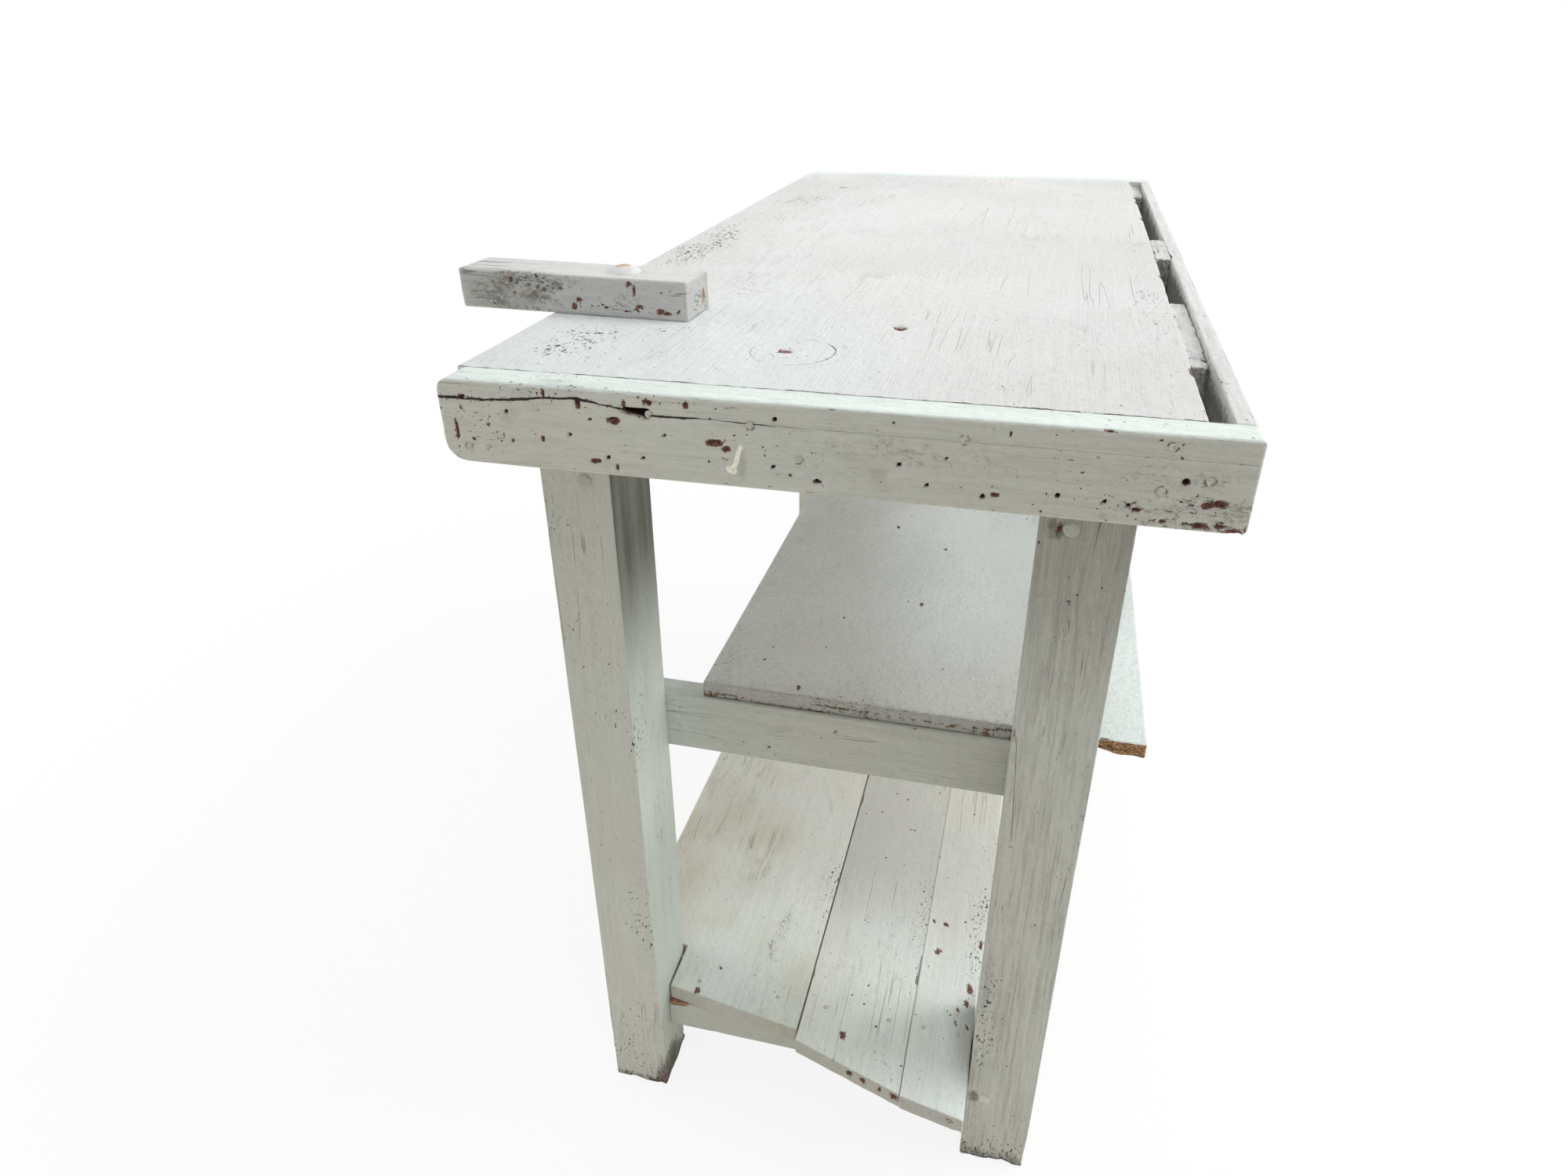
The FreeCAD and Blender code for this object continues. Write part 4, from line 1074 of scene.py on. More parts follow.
# how far each plank end runs past the face of its foot rail: near front, near back,
# far front and far back
PLANK_ENDS = {"one": (-0.015, 0.017, -0.009, 0.006),
              "two": (0.029, 0.065, 0.018, 0.022),
              "three": (0.066, 0.078, 0.035, 0.031)}
NOTCH_SIDE_GAP = 0.0025
NOTCH_END_GAP = 0.004
# the blocks that cut the notches reach this far out, and past the plank's front edge
CUTTER_END = 0.8
CUTTER_MARGIN = 0.05
# the third plank bulges along its free edge: by the legs and between them
EDGE_BY_LEGS = 0.0026
EDGE_BETWEEN = 0.0070
# chips in the planks: from the near face, from the front edge, two sizes
PLANK_CHIPS = {"one": ((0.1212, 0.1128, 0.006, 0.004), (0.1549, 0.1293, 0.004, 0.003)),
               "two": ((0.1032, 0.2785, 0.008, 0.005),),
               "three": ((0.2825, 0.3525, 0.0042, 0.0034), (0.2799, 0.3660, 0.0048, 0.0042),
                         (0.2369, 0.3616, 0.0075, 0.0045), (0.2579, 0.4085, 0.0100, 0.0040),
                         (0.1955, 0.4018, 0.0110, 0.0055), (0.1731, 0.4001, 0.0060, 0.0036),
                         (0.1634, 0.3914, 0.0032, 0.0026), (0.1470, 0.3904, 0.0028, 0.0022),
                         (0.1434, 0.4039, 0.0050, 0.0032))}
# chips in the near end faces: from the near face, from the front edge, half width
PLANK_END_CHIPS = {"one": (), "two": ((0.0648, 0.2928, 0.0036), (0.0576, 0.3070, 0.0042),
                                      (0.0525, 0.3250, 0.0022), (0.0491, 0.3402, 0.0045)),
                   "three": ((0.0340, 0.3953, 0.0060),)}
# the open stretch of the joint behind the second plank, from the near face
JOINT_SLOT = (0.2239, 0.1905)


class WORKBENCH_OT_planks(bpy.types.Operator):
    """Make the three floor planks, cut askew, the first notched round the front legs"""

    bl_idname = "workbench.planks"
    bl_label = "Floor planks"

    def notch(self, plank, low, high):
        """Cuts the two front corners away where the front legs stand."""
        leg_low, leg_high = span("near_front_leg")
        side = leg_high[Y] + NOTCH_SIDE_GAP
        end = leg_low[X] - NOTCH_END_GAP
        front = low[Y] - CUTTER_MARGIN
        for sign in (1, -1):
            centre = ((end + CUTTER_END) / 2 * sign, (front + side) / 2, (low[Z] + high[Z]) / 2)
            bpy.ops.mesh.primitive_cube_add(size=1, location=centre)
            cutter = bpy.context.object
            cutter.scale = (CUTTER_END - end, side - front, 0.2)
            modifier = plank.modifiers.new("notch", "BOOLEAN")
            modifier.operation = "DIFFERENCE"
            modifier.solver = "EXACT"
            modifier.object = cutter
            bpy.context.view_layer.update()
            shaped = plank.evaluated_get(bpy.context.evaluated_depsgraph_get())
            mesh = bpy.data.meshes.new_from_object(shaped)
            plank.modifiers.clear()
            old, plank.data = plank.data, mesh
            bpy.data.meshes.remove(old)
            bpy.data.objects.remove(cutter)

    def wear(self, plank, name):
        """Bends and wears one plank as the photo shows it."""
        low, high = plank.low, plank.high
        middle = (low[Y] + high[Y]) / 2
        across = (plank.points[:, Y] - low[Y]) / (high[Y] - low[Y])
        if name == "three":
            between = np.clip(1 - (plank.points[:, X] / 0.40) ** 2, 0, 1)
            plank.points[:, Y] += across * (EDGE_BY_LEGS + EDGE_BETWEEN * between)
            plank.points[:, Y] -= (1 - across) * 0.0006
        if name == "two":
            plank.points[:, Y] += across * 0.0006
            plank.crack([(NEAR_FACE - along, high[Y] + 0.0006, high[Z]) for along in JOINT_SLOT],
                        0.0030, 0.0050)
        for near, front, long, wide in PLANK_CHIPS[name]:
            plank.dent((NEAR_FACE - near, SLAB_FRONT + front, high[Z]),
                       (long * 0.8, wide * 0.8, 0.006), 0.0014, ragged=0.7)
        for near, front, wide in PLANK_END_CHIPS[name]:
            plank.dent((NEAR_FACE - near, SLAB_FRONT + front, high[Z] - 0.008),
                       (0.010, wide, 0.0045), 0.0020, ragged=0.6)
        plank.patch("flecks", (high[X] + 0.03, middle, high[Z]), (0.10, 0.15, 0.03), 0.12)
        # painted cooler light on the planks' near ends
        plank.patch("cool", (high[X] + 0.03, middle + 0.05, high[Z]), (0.30, 0.20, 0.03), 0.9)
        plank.patch("flecks", (high[X] - 0.17, high[Y], high[Z]), (0.15, 0.03, 0.02), 0.8)
        # the sawn end faces lose the painted cooler light and get painted shade
        sawn = ease(np.abs(plank.normals[:, X]), 0.5, 0.85)
        plank.cool *= 1 - sawn
        plank.more("soot", 0.28 * sawn)
        if name == "one":
            for near, front in ((0.2325, 0.1823), (0.2580, 0.1960), (0.2076, 0.1792)):
                plank.patch("grime", (NEAR_FACE - near, SLAB_FRONT + front, high[Z]),
                            (0.060, 0.013, 0.02), 0.36)
        if name == "three":
            # painted shadow of the leg on plank three
            plank.patch("soot", (NEAR_FACE - 0.135, SLAB_FRONT + 0.413, high[Z]),
                        (0.085, 0.034, 0.02), 0.50)
        if name != "one":
            # painted light on the tops of planks two and three towards the near end
            lit_edge_wobble = rough_noise(plank.points, (12, 20, 20), plank.seed + 71) * 0.3
            plank.pale = ease(plank.points[:, X] + 0.1 * lit_edge_wobble, 0.22, 0.44)
            plank.pale *= ease(plank.normals[:, Z], 0.3, 0.8)
        if name == "two":
            # painted shade over plank two away from its lit near end
            plank.more("soot", 0.12 * (1 - plank.pale))

    def execute(self, context):
        face = span("near_foot_rail")[1][X]
        for seed, name in ((61, "one"), (63, "two"), (65, "three")):
            low, high = span("floor_plank_" + name)
            near_front, near_back, far_front, far_back = PLANK_ENDS[name]
            low[X], high[X] = -face, face
            tight = {"one": (), "two": ((Y, HIGH_END),), "three": ((Y, LOW_END),)}[name]
            plank = Timber(low, high, X, (0.0040, 0.0028, 0.0032), seed=seed, sway=0.0007,
                           chip=0.0024, tight=tight)
            plank.skew(X, Y, (-far_front, near_front), (-far_back, near_back))
            self.wear(plank, name)
            made = plank.piece("plank_%s_worn" % name)
            if name == "one":
                self.notch(made, low, high)
            paint = "smooth_plank" if name == "one" else "plank"
            settle(made, paints()[paint], "floor_plank_" + name, BENCH)
        return {"FINISHED"}


class WORKBENCH_OT_panel(bpy.types.Operator):
    """Make the loose shelf panel, with a broken and raw near back corner"""

    bl_idname = "workbench.panel"
    bl_label = "Shelf panel"

    def execute(self, context):
        low, high = span("shelf_panel")
        panel = Timber(low, high, X, (0.0042, 0.0036, 0.0028), seed=71, arris=0.0022,
                       sway=0.0002, chip=0.0014)
        leg_outer = span("near_back_leg")[1][Y]
        free = ease(panel.points[:, Y], leg_outer - 0.012, leg_outer + 0.004)
        edge = ease(panel.points[:, X], high[X] - 0.012, high[X] - 0.002)
        lower = ease(-panel.points[:, Z], -high[Z] + 0.003, -high[Z] + 0.006)
        torn = rough_noise(panel.points, (160, 120, 160), 73)
        away = np.clip(1 - (panel.points[:, Y] - leg_outer) / 0.03, 0, 1)
        panel.points[:, Z] += free * edge * (panel.points[:, Z] < low[Z] + 0.004) * away * 0.006
        panel.points[:, X] -= free * edge * lower * np.clip(0.3 + torn, 0, 1) * 0.003
        near_edge = ease(panel.points[:, X], high[X] - 0.004, high[X] - 0.0005)
        panel.grime = near_edge * (1 - free) * (0.20 + 0.25 * np.clip(torn, 0, 1))
        broken = ease(rough_noise(panel.points, (60, 22, 200), 75), -0.05, 0.4)
        panel.more("bare", near_edge * (1 - free) * lower * broken * 0.62)
        panel.patch("flecks", (high[X], low[Y], high[Z]), (0.75, 0.035, 0.02), 0.9)
        panel.patch("flecks", (high[X], (low[Y] + leg_outer) / 2, high[Z]), (0.03, 0.30, 0.03), 0.8)
        for near, front in ((0.5675, 0.2478), (0.5195, 0.3124), (0.379, 0.3022), (0.1911, 0.2101)):
            panel.dent((NEAR_FACE - near, SLAB_FRONT + front, high[Z]), (0.0050, 0.0026, 0.004),
                       0.0012, ragged=0.5)
        # painted light: cooler and lighter where the panel reaches past the back legs
        panel.cool = ease(panel.points[:, Y], leg_outer - 0.02, leg_outer + 0.02)
        # a lighter band across the middle towards the back: a painted sheen
        panel.patch("pale", (0.05, 0.13, high[Z]), (0.42, 0.17, 0.02), 0.85)
        worn = ease(rough_noise(panel.points, (60, 14, 200), 79), -0.35, 0.35)
        panel.raw = near_edge * (1 - free) * lower * (0.22 + 0.20 * worn)
        panel.raw += free * edge * ease(-panel.points[:, Z], -high[Z] + 0.0008, -high[Z] + 0.0022)
        settle(panel.piece("shelf_panel_worn"), paints()["panel"], "shelf_panel", SHELF)
        return {"FINISHED"}


# chips in the block's near side: from the bolt, height, half length and half height
STOP_CHIPS = ((0.014, 0.8775, 0.0030, 0.0030), (0.0185, 0.8730, 0.0018, 0.0045),
              (-0.031, 0.8620, 0.0040, 0.0026), (-0.036, 0.8570, 0.0024, 0.0032),
              (0.0215, 0.8595, 0.0030, 0.0020), (0.041, 0.8570, 0.0040, 0.0018),
              (0.047, 0.8562, 0.0032, 0.0022), (0.056, 0.8575, 0.0022, 0.0010),
              (-0.004, 0.8570, 0.0050, 0.0010), (-0.092, 0.8750, 0.0020, 0.0030),
              (-0.090, 0.8640, 0.0016, 0.0018), (-0.062, 0.8690, 0.0024, 0.0020))
BOLT_SHANK = 0.006


class WORKBENCH_OT_stop(bpy.types.Operator):
    """Make the stop block and the domed bolt that it turns on"""

    bl_idname = "workbench.stop"
    bl_label = "Stop block"
    width: FloatProperty(name="Width", description="Across the block", default=0.050, unit="LENGTH")
    front: FloatProperty(name="Front length", description="From the bolt to the free end",
                         default=0.1418, unit="LENGTH")
    back: FloatProperty(name="Back length", description="From the bolt to the short end",
                        default=0.064, unit="LENGTH")
    askew: FloatProperty(name="Askew", description="How far the block stands turned",
                         default=math.radians(-2.5), unit="ROTATION")

    def execute(self, context):
        low, high = span("stop_block")
        half = self.width / 2
        block = Timber((-half, -self.front, low[Z]), (half, self.back, high[Z]), Y, 0.0022,
                       seed=81, arris=0.0034, sway=0.0008)
        block.trim((-half + 0.004, -self.front + 0.004, 0), (-1, -1, 0), 0.002)
        block.trim((half - 0.0015, -self.front + 0.0015, 0), (1, -1, 0), 0.001)
        for along, height, long, tall in STOP_CHIPS:
            block.dent((half, along, height), (0.005, long, tall), 0.0012, ragged=0.6)
        block.patch("raw", (half - 0.037, self.back, low[Z] + 0.014), (0.005, 0.01, 0.009), 1.1)
        block.patch("flecks", (half, -0.068, 0.874), (0.02, 0.040, 0.011), 1.9)
        block.patch("flecks", (half, 0.01, low[Z] + 0.008), (0.02, 0.06, 0.006), 1.0)
        block.patch("flecks", (half - 0.03, self.back, low[Z] + 0.012), (0.02, 0.02, 0.014), 0.7)
        block.patch("grime", (half, -0.07, high[Z] - 0.008), (0.01, 0.075, 0.02), 0.55)
        block.patch("grime", (half, -0.09, low[Z] + 0.012), (0.01, 0.08, 0.03), 0.48)
        block.patch("grime", (half, 0.02, (low[Z] + high[Z]) / 2), (0.01, 0.06, 0.02), 0.28)
        # painted shade on the block's near side and its short end
        block.soot = (np.clip(block.normals[:, X], 0, 1) * 0.20
                      + np.clip(block.normals[:, Y], 0, 1) * 0.30)
        # more painted shade on the near side towards the free end
        block.patch("soot", (half, -0.10, 0.864), (0.012, 0.075, 0.04), 0.40)
        turn = np.array(Matrix.Rotation(self.askew, 3, "Z"))
        block.points = block.points @ turn.T + np.array([PIVOT[X], PIVOT[Y], 0])
        block.points[:, Z] = np.maximum(block.points[:, Z], BENCH_TOP + 0.0003)
        settle(block.piece("stop_block_worn"), paints()["stop"], "stop_block", STOP)
        self.bolt(high[Z])
        return {"FINISHED"}

    def bolt(self, seat):
        """The bolt's dome over the height where it sits, and its shank down to the thread."""
        low, high = span("pivot_bolt")
        radius = (high[X] - low[X]) / 2
        rise = high[Z] - seat
        ball = (radius * radius + rise * rise) / (2 * rise)
        tilt = np.linspace(0, math.asin(radius / ball), 10)
        dome = [(ball * math.sin(a), high[Z] - ball + ball * math.cos(a)) for a in tilt]
        dome[0] = (0.0, high[Z])
        profile = dome + [(radius * 0.99, seat - 0.0006), (BOLT_SHANK, seat - 0.0006),
                          (BOLT_SHANK, low[Z] + 0.001), (BOLT_SHANK - 0.001, low[Z]),
                          (0.0, low[Z])]
        profile.reverse()
        made = lathe("bolt_dome", profile, 48, 0.00025, seed=83, spot=(PIVOT[X], PIVOT[Y], 0))
        settle(made, paints()["dome"], "pivot_bolt", STOP)


NAIL_RADIUS = 0.0027
# from the outer side of the CAD nails to their middle
NAIL_INSET = 0.0035
DOWEL_RADIUS = 0.0065
# how deep the dressed peg and dowel ends reach into the timber
PEG_DEPTH = 0.02


class WORKBENCH_OT_fasteners(bpy.types.Operator):
    """Set the nails, pegs and dowel ends with one Geometry Nodes tree"""

    bl_idname = "workbench.fasteners"
    bl_label = "Nails and pegs"

    def tree(self, shape, material):
        """A tree that stands a shape on each point, turned by the point's own turn.

        Its input Uneven says how much smaller than the shape the smallest copy may be.
        """
        tree = bpy.data.node_groups.new("set_" + shape.name, "GeometryNodeTree")
        face = tree.interface
        face.new_socket("Geometry", in_out="INPUT", socket_type="NodeSocketGeometry")
        spread = face.new_socket("Uneven", in_out="INPUT", socket_type="NodeSocketFloat")
        face.new_socket("Geometry", in_out="OUTPUT", socket_type="NodeSocketGeometry")
        enter = add_node(tree, "NodeGroupInput")
        source = add_node(tree, "GeometryNodeObjectInfo", None, {"Object": shape})
        turn = add_node(tree, "GeometryNodeInputNamedAttribute", {"data_type": "FLOAT_VECTOR"},
                        {"Name": "turn"})
        least = add_node(tree, "ShaderNodeMath", {"operation": "SUBTRACT"},
                         {0: 1.0, 1: enter.outputs["Uneven"]})
        size = add_node(tree, "FunctionNodeRandomValue", {"data_type": "FLOAT"},
                        {2: least.outputs[0], 3: 1.0, "Seed": 7})
        copies = add_node(tree, "GeometryNodeInstanceOnPoints", None,
                          {"Points": enter.outputs["Geometry"],
                           "Instance": source.outputs["Geometry"],
                           "Rotation": turn.outputs["Attribute"], "Scale": size.outputs[1]})
        real = add_node(tree, "GeometryNodeRealizeInstances", None, {0: copies.outputs[0]})
        paint = add_node(tree, "GeometryNodeSetMaterial", None,
                         {"Geometry": real.outputs[0], "Material": material})
        add_node(tree, "NodeGroupOutput", None, {0: paint.outputs[0]})
        return tree, spread.identifier

    def set_out(self, name, shape, spots, paint, node, slot, uneven=0.12):
        """Spots are pairs of a place and the axis that the shape's top faces."""
        mesh = bpy.data.meshes.new(name)
        mesh.from_pydata([tuple(spot) for spot, _ in spots], [], [])
        turns = mesh.attributes.new("turn", "FLOAT_VECTOR", "POINT")
        for entry, (_, facing) in zip(turns.data, spots):
            entry.vector = Vector(facing).to_track_quat("Z", "Y").to_euler()
        made = stand(name, mesh)
        tree, uneven_socket = self.tree(shape, paints()[paint])
        modifier = made.modifiers.new("set_out", "NODES")
        modifier.node_group = tree
        modifier[uneven_socket] = uneven
        bpy.context.view_layer.update()
        shaped = made.evaluated_get(bpy.context.evaluated_depsgraph_get())
        final = bpy.data.meshes.new_from_object(shaped)
        made.modifiers.clear()
        made.data = final
        final.shade_smooth()
        bpy.data.objects.remove(shape)
        settle(made, paints()[paint], node, BENCH)

    def nails(self, name, spots, node, proud=0.0006):
        """Sets flat nail heads, hammered a little uneven, with a short shank under each."""
        radius = NAIL_RADIUS
        profile = [(0.0, -0.006), (0.0017, -0.006), (0.0017, -0.0010), (radius, -0.0010),
                   (radius, proud * 0.4), (radius * 0.86, proud), (radius * 0.4, proud * 1.15),
                   (0.0, proud * 1.1)]
        head = lathe(name, profile, 18, 0.00018, seed=91)
        self.set_out(name + "_heads", head, spots, "nail", node, "rusty_nail")

    def dowel_end(self, half, proud):
        profile = [(0.0, -PEG_DEPTH), (half, -PEG_DEPTH), (half, proud * 0.2), (half * 0.9, proud),
                   (half * 0.45, proud * 1.1), (0.0, proud * 1.05)]
        return lathe("dowel_end", profile, 28, 0.0004, seed=93)

    def square_peg(self, half, proud):
        post = Timber((-half, -half, -PEG_DEPTH), (half, half, proud), Z, 0.0016, seed=95,
                      arris=0.0022, sway=0.0004)
        return post.piece("square_peg")

    def both_ends(self, face, facing, across, heights):
        """Spots at each pair of across and height, first at the near end, then at the far end."""
        return [((face * sign, side, height), facing * sign)
                for sign in (1, -1) for side in across for height in heights]

    def execute(self, context):
        out, back, up = Vector((1, 0, 0)), Vector((0, 1, 0)), Vector((0, 0, 1))
        far_face = span("far_end_cap")[0][X]
        near = [(on_cap(*spot), out) for spot in NEAR_NAIL_SPOTS]
        far = [((far_face, spot[0][1], spot[0][2]), -out) for spot in near[::2]]
        self.nails("cap_nail", near + far, "cap_nails")
        rail_back = span("back_rail")[1][Y]
        nail_low, nail_high = span("back_rail_nails")
        height = (nail_low[Z] + nail_high[Z]) / 2
        spots = []
        for spacer in ("near_spacer", "middle_spacer", "far_spacer"):
            low, high = span(spacer)
            for share in (0.25, 0.75):
                spots.append(((low[X] + share * (high[X] - low[X]), rail_back, height), back))
        self.nails("back_nail", spots, "back_rail_nails")
        low, high = span("shelf_rail_nails")
        spots = self.both_ends(span("near_shelf_rail")[0][X], -out,
                               (low[Y] + NAIL_INSET, high[Y] - NAIL_INSET),
                               (low[Z] + NAIL_INSET, high[Z] - NAIL_INSET))
        self.nails("shelf_nail", spots, "shelf_rail_nails")
        self.plank_nails(up)
        self.pegs(out)
        return {"FINISHED"}

    def plank_nails(self, up):
        rail_low, rail_high = span("near_foot_rail")
        middle = (rail_low[X] + rail_high[X]) / 2
        notch = span("near_front_leg")[1][Y] + NOTCH_SIDE_GAP
        spots = []
        for name in ("one", "two", "three"):
            low, high = span("floor_plank_" + name)
            start = max(low[Y], notch) if name == "one" else low[Y]
            for share in (0.2, 0.8):
                across = start + share * (high[Y] - start)
                spots += [((middle, across, high[Z]), up), ((-middle, across, high[Z]), up)]
        self.nails("plank_nail", spots, "plank_nails", proud=0.0002)

    def pegs(self, out):
        face = span("near_front_leg")[1][X]
        low, high = span("rail_dowels")
        half = DOWEL_RADIUS
        spots = self.both_ends(face, out, (low[Y] + half, high[Y] - half),
                               (low[Z] + half, high[Z] - half))
        self.set_out("dowel_ends", self.dowel_end(half * 0.97, high[X] - face), spots, "dowel",
                     "rail_dowels", "painted_peg", uneven=0.03)
        low, high = span("foot_pegs")
        half = (high[Z] - low[Z]) / 2
        spots = self.both_ends(face, out, (low[Y] + half, high[Y] - half), (low[Z] + half,))
        self.set_out("square_pegs", self.square_peg(half * 0.98, high[X] - face), spots, "peg",
                     "foot_pegs", "painted_peg", uneven=0.02)


# the bent nail: out of the cap, across and down, from its root to its head
HOOK_PATH = ((-0.010, 0.0016, 0.0020), (0.001, 0.0014, 0.0022), (0.0036, 0.0012, 0.0036),
             (0.0052, 0.0008, 0.0066), (0.0066, 0.0002, 0.0096), (0.0084, -0.0006, 0.0120),
             (0.0106, -0.0014, 0.0132))
HOOK_HEAD = ((0.0, -0.0012), (0.0026, -0.0010), (0.0038, -0.0001), (0.0036, 0.0006),
             (0.0016, 0.0009), (0.0, 0.0010))


class WORKBENCH_OT_iron(bpy.types.Operator):
    """Finish the washer and nut, and make the bent nail that serves as a hook"""

    bl_idname = "workbench.iron"
    bl_label = "Ironwork"

    def execute(self, context):
        for node in ("pivot_washer", "pivot_nut"):
            part = frame["nodes"][node]
            for slot in part.material_slots:
                slot.material = paints()["iron"]
        low, high = span("hook_nail")
        across = (low[Y] + high[Y]) / 2
        path = [(NEAR_FACE + out, across + side, high[Z] - drop) for out, side, drop in HOOK_PATH]
        hook = tube("hook_shank", path, 0.0017)
        head = lathe("hook_head", HOOK_HEAD, 24, 0.0002)
        aim = Vector((0.86, -0.16, -0.48)).to_track_quat("Z", "Y").to_matrix().to_4x4()
        head.data.transform(Matrix.Translation((NEAR_FACE + 0.0112, across - 0.0016,
                                                high[Z] - 0.0137)) @ aim)
        settle(hook, paints()["hook"], "hook_nail", BENCH)
        settle(head, paints()["hook"], None, BENCH)
        return {"FINISHED"}


# The photo's camera, found by fitting the bench's own sizes to the photo
LENS = 23.35
CAMERA_FROM_NEAR_FACE = 0.5956
CAMERA_FROM_FRONT = 0.3963
CAMERA_HEIGHT = 1.057
CAMERA_YAW = -0.2504
CAMERA_PITCH = 0.5036
CAMERA_ROLL = -0.0055
SENSOR_WIDTH = 36.0
WHITE = (1.0, 1.0, 1.0, 1.0)
# how bright the plain surroundings light the bench
SOFT_LIGHT = 0.35
FLOOR_SIDE = 40
# between these distances from the middle the floor turns to plain white
FLOOR_FADE = (0.75, 1.75)
# how plain the floor already looks near the bench
FLOOR_PLAIN = 0.86
# square lamps: name, place, the spot that it shines at, side and power
LAMPS = (("overhead", (-0.5, 1.1, 2.9), (0.1, 0.0, 0.8), 2.4, 21),
         ("high_window", (-0.2, 2.6, 2.6), (0.1, 0.0, 0.5), 1.8, 52),
         ("far_window", (-3.2, -0.6, 2.0), (0.0, 0.0, 0.5), 2.0, 17),
         ("near_sky", (1.55, 0.3, 3.3), (0.5, 0.0, 0.2), 1.6, 17),
         ("back_window", (-0.5, 2.6, 1.0), (0.4, 0.0, 0.35), 1.4, 10),
         ("side_window", (0.3, -3.0, 1.6), (0.1, 0.0, 0.5), 2.0, 40))


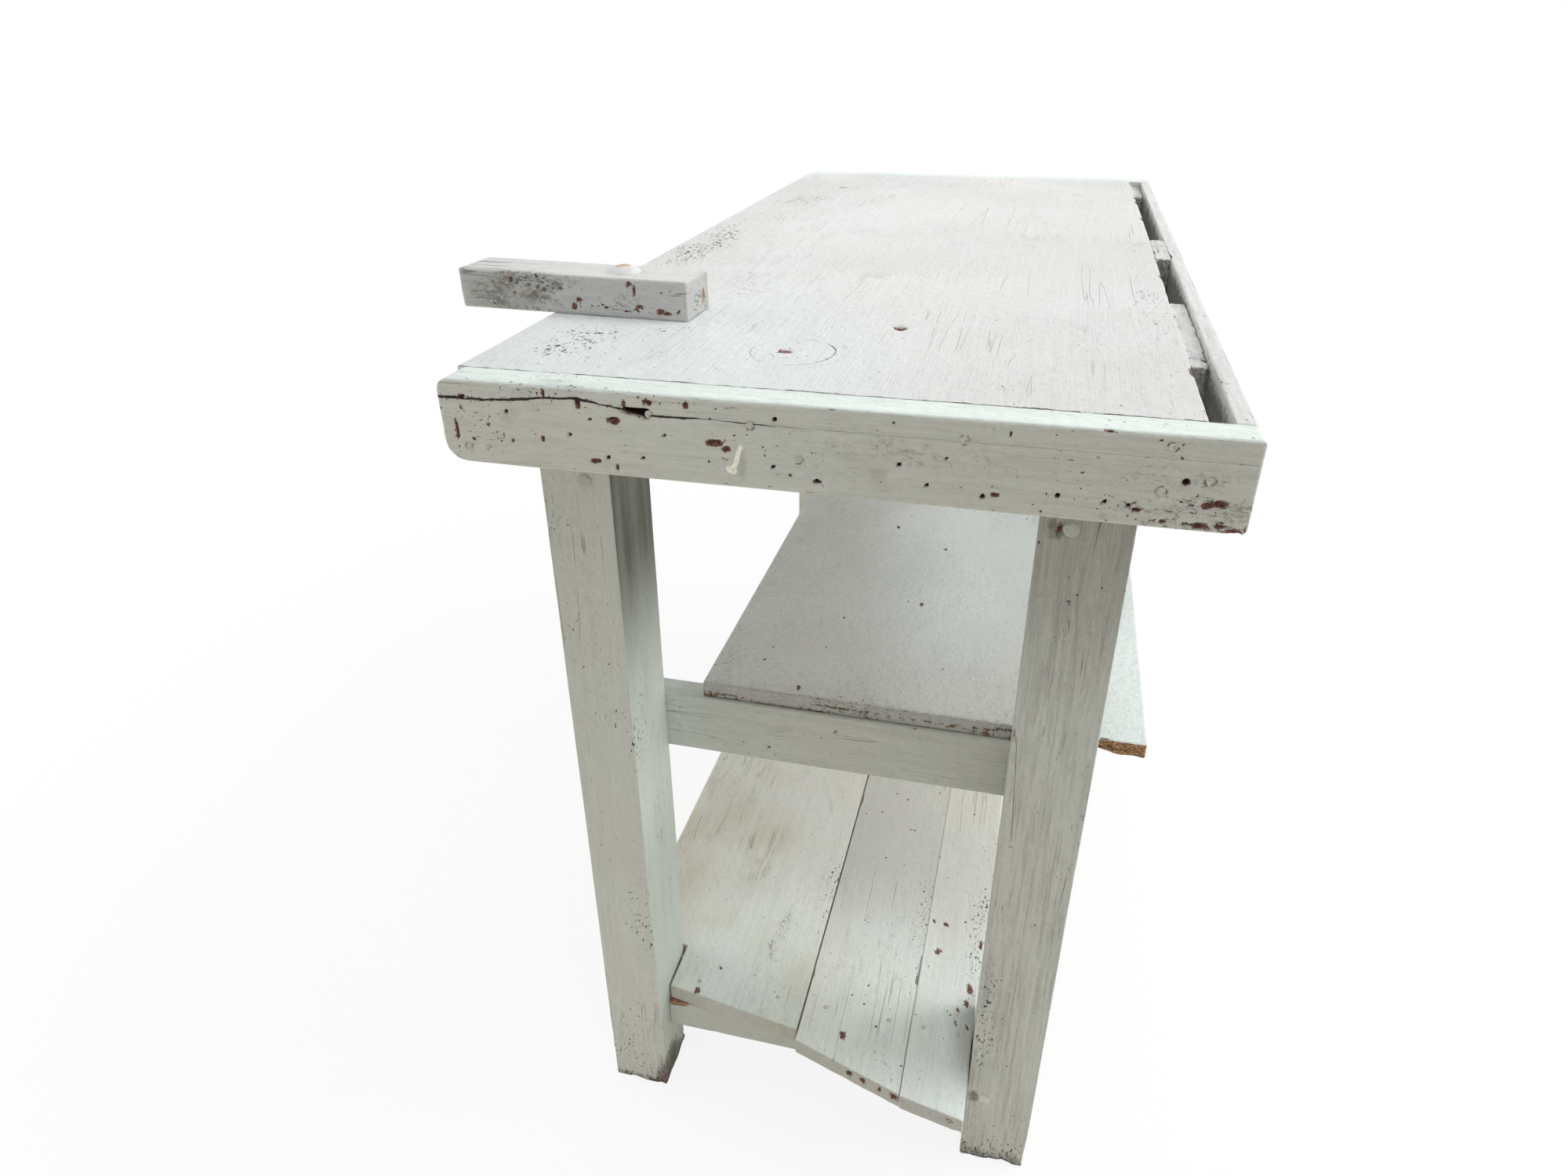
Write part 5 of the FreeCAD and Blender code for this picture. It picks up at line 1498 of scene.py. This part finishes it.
class WORKBENCH_OT_stage(bpy.types.Operator):
    """Set the floor, the lamps and the camera"""

    bl_idname = "workbench.stage"
    bl_label = "Stage"

    def camera(self):
        """The photo's camera. Right and top are as they would be without its roll."""
        up = Vector((0, 0, 1))
        ahead = Vector((-math.cos(CAMERA_YAW), math.sin(CAMERA_YAW), 0))
        right = Vector((math.sin(CAMERA_YAW), math.cos(CAMERA_YAW), 0))
        look = math.cos(CAMERA_PITCH) * ahead - math.sin(CAMERA_PITCH) * up
        top = math.cos(CAMERA_PITCH) * up + math.sin(CAMERA_PITCH) * ahead
        side = math.cos(CAMERA_ROLL) * right + math.sin(CAMERA_ROLL) * top
        upward = math.cos(CAMERA_ROLL) * top - math.sin(CAMERA_ROLL) * right
        data = bpy.data.cameras.new("photo_camera")
        data.sensor_width = SENSOR_WIDTH
        data.lens = LENS
        data.clip_start = 0.02
        spot = (NEAR_FACE + CAMERA_FROM_NEAR_FACE, SLAB_FRONT + CAMERA_FROM_FRONT, CAMERA_HEIGHT)
        made = stand("photo_camera", data)
        made.matrix_world = (Matrix.Translation(spot)
                             @ Matrix((side, upward, -look)).transposed().to_4x4())
        bpy.context.scene.camera = made

    def lamp(self, name, spot, target, size, power):
        data = bpy.data.lights.new(name, "AREA")
        data.shape = "SQUARE"
        data.size = size
        data.energy = power
        made = stand(name, data)
        made.location = spot
        aim = Vector(target) - Vector(spot)
        made.rotation_euler = aim.to_track_quat("-Z", "Y").to_euler()

    def floor(self):
        """A pale floor that keeps the shadow near the bench and turns to plain white around it."""
        finish = Finish("pale_floor")
        path = finish.add("ShaderNodeLightPath")
        seen = Wire(finish, path.outputs["Is Camera Ray"])
        lit = finish.add("ShaderNodeBsdfDiffuse", None,
                         {"Color": finish.mix(seen, (0.93, 0.90, 0.82), (0.92, 0.92, 0.92))})
        white = finish.add("ShaderNodeEmission", None, {"Color": WHITE})
        away = finish.add("ShaderNodeVectorMath", {"operation": "LENGTH"}, {0: finish.place})
        away = Wire(finish, away.outputs["Value"]).rise(*FLOOR_FADE)
        plain = (away * (1.0 - FLOOR_PLAIN) + FLOOR_PLAIN) * seen
        choose = finish.add("ShaderNodeMixShader", None,
                            {0: plain, 1: lit.outputs[0], 2: white.outputs[0]})
        finish.add("ShaderNodeOutputMaterial", None, {0: choose.outputs[0]})
        bpy.ops.mesh.primitive_plane_add(size=FLOOR_SIDE, location=(0, 0, -0.0005))
        plane = bpy.context.object
        plane.name = "floor"
        plane.data.materials.append(finish.material)

    def world(self):
        """Surroundings that are plain white to the camera and light the bench softly."""
        world = bpy.data.worlds.new("studio")
        world.use_nodes = True
        bpy.context.scene.world = world
        tree = world.node_tree
        tree.nodes.clear()
        path = add_node(tree, "ShaderNodeLightPath")
        soft = add_node(tree, "ShaderNodeBackground", None,
                        {"Color": WHITE, "Strength": SOFT_LIGHT})
        seen = add_node(tree, "ShaderNodeBackground", None, {"Color": WHITE})
        choose = add_node(tree, "ShaderNodeMixShader", None,
                          {0: path.outputs["Is Camera Ray"], 1: soft.outputs[0],
                           2: seen.outputs[0]})
        add_node(tree, "ShaderNodeOutputWorld", None, {0: choose.outputs[0]})

    def execute(self, context):
        self.floor()
        self.world()
        for lamp in LAMPS:
            self.lamp(*lamp)
        self.camera()
        context.scene.view_settings.view_transform = "Standard"
        return {"FINISHED"}


STEPS = (WORKBENCH_OT_top, WORKBENCH_OT_caps, WORKBENCH_OT_slots, WORKBENCH_OT_legs,
         WORKBENCH_OT_rails, WORKBENCH_OT_planks, WORKBENCH_OT_panel, WORKBENCH_OT_stop,
         WORKBENCH_OT_fasteners, WORKBENCH_OT_iron, WORKBENCH_OT_stage)


class WORKBENCH_PT_panel(bpy.types.Panel):
    """Lists the settings and the steps that dress the workbench"""

    bl_idname = "WORKBENCH_PT_panel"
    bl_label = "Workbench"
    bl_space_type = "VIEW_3D"
    bl_region_type = "UI"
    bl_category = "Workbench"

    def draw(self, context):
        column = self.layout.column()
        for settings in (context.scene.worn_timber, context.scene.old_paint):
            for name in settings.__annotations__:
                column.prop(settings, name)
        for step in STEPS:
            column.operator(step.bl_idname)


CLASSES = (WornTimberSettings, OldPaintSettings, *STEPS, WORKBENCH_PT_panel)


def register():
    for entry in CLASSES:
        bpy.utils.register_class(entry)
    bpy.types.Scene.worn_timber = PointerProperty(type=WornTimberSettings)
    bpy.types.Scene.old_paint = PointerProperty(type=OldPaintSettings)


def unregister():
    del bpy.types.Scene.old_paint
    del bpy.types.Scene.worn_timber
    for entry in reversed(CLASSES):
        bpy.utils.unregister_class(entry)


def main():
    register()
    bpy.ops.workbench.top()
    bpy.ops.workbench.caps()
    bpy.ops.workbench.slots()
    bpy.ops.workbench.legs()
    bpy.ops.workbench.rails()
    bpy.ops.workbench.planks()
    bpy.ops.workbench.panel()
    bpy.ops.workbench.stop()
    bpy.ops.workbench.fasteners()
    bpy.ops.workbench.iron()
    bpy.ops.workbench.stage()


if __name__ == "__main__":
    main()
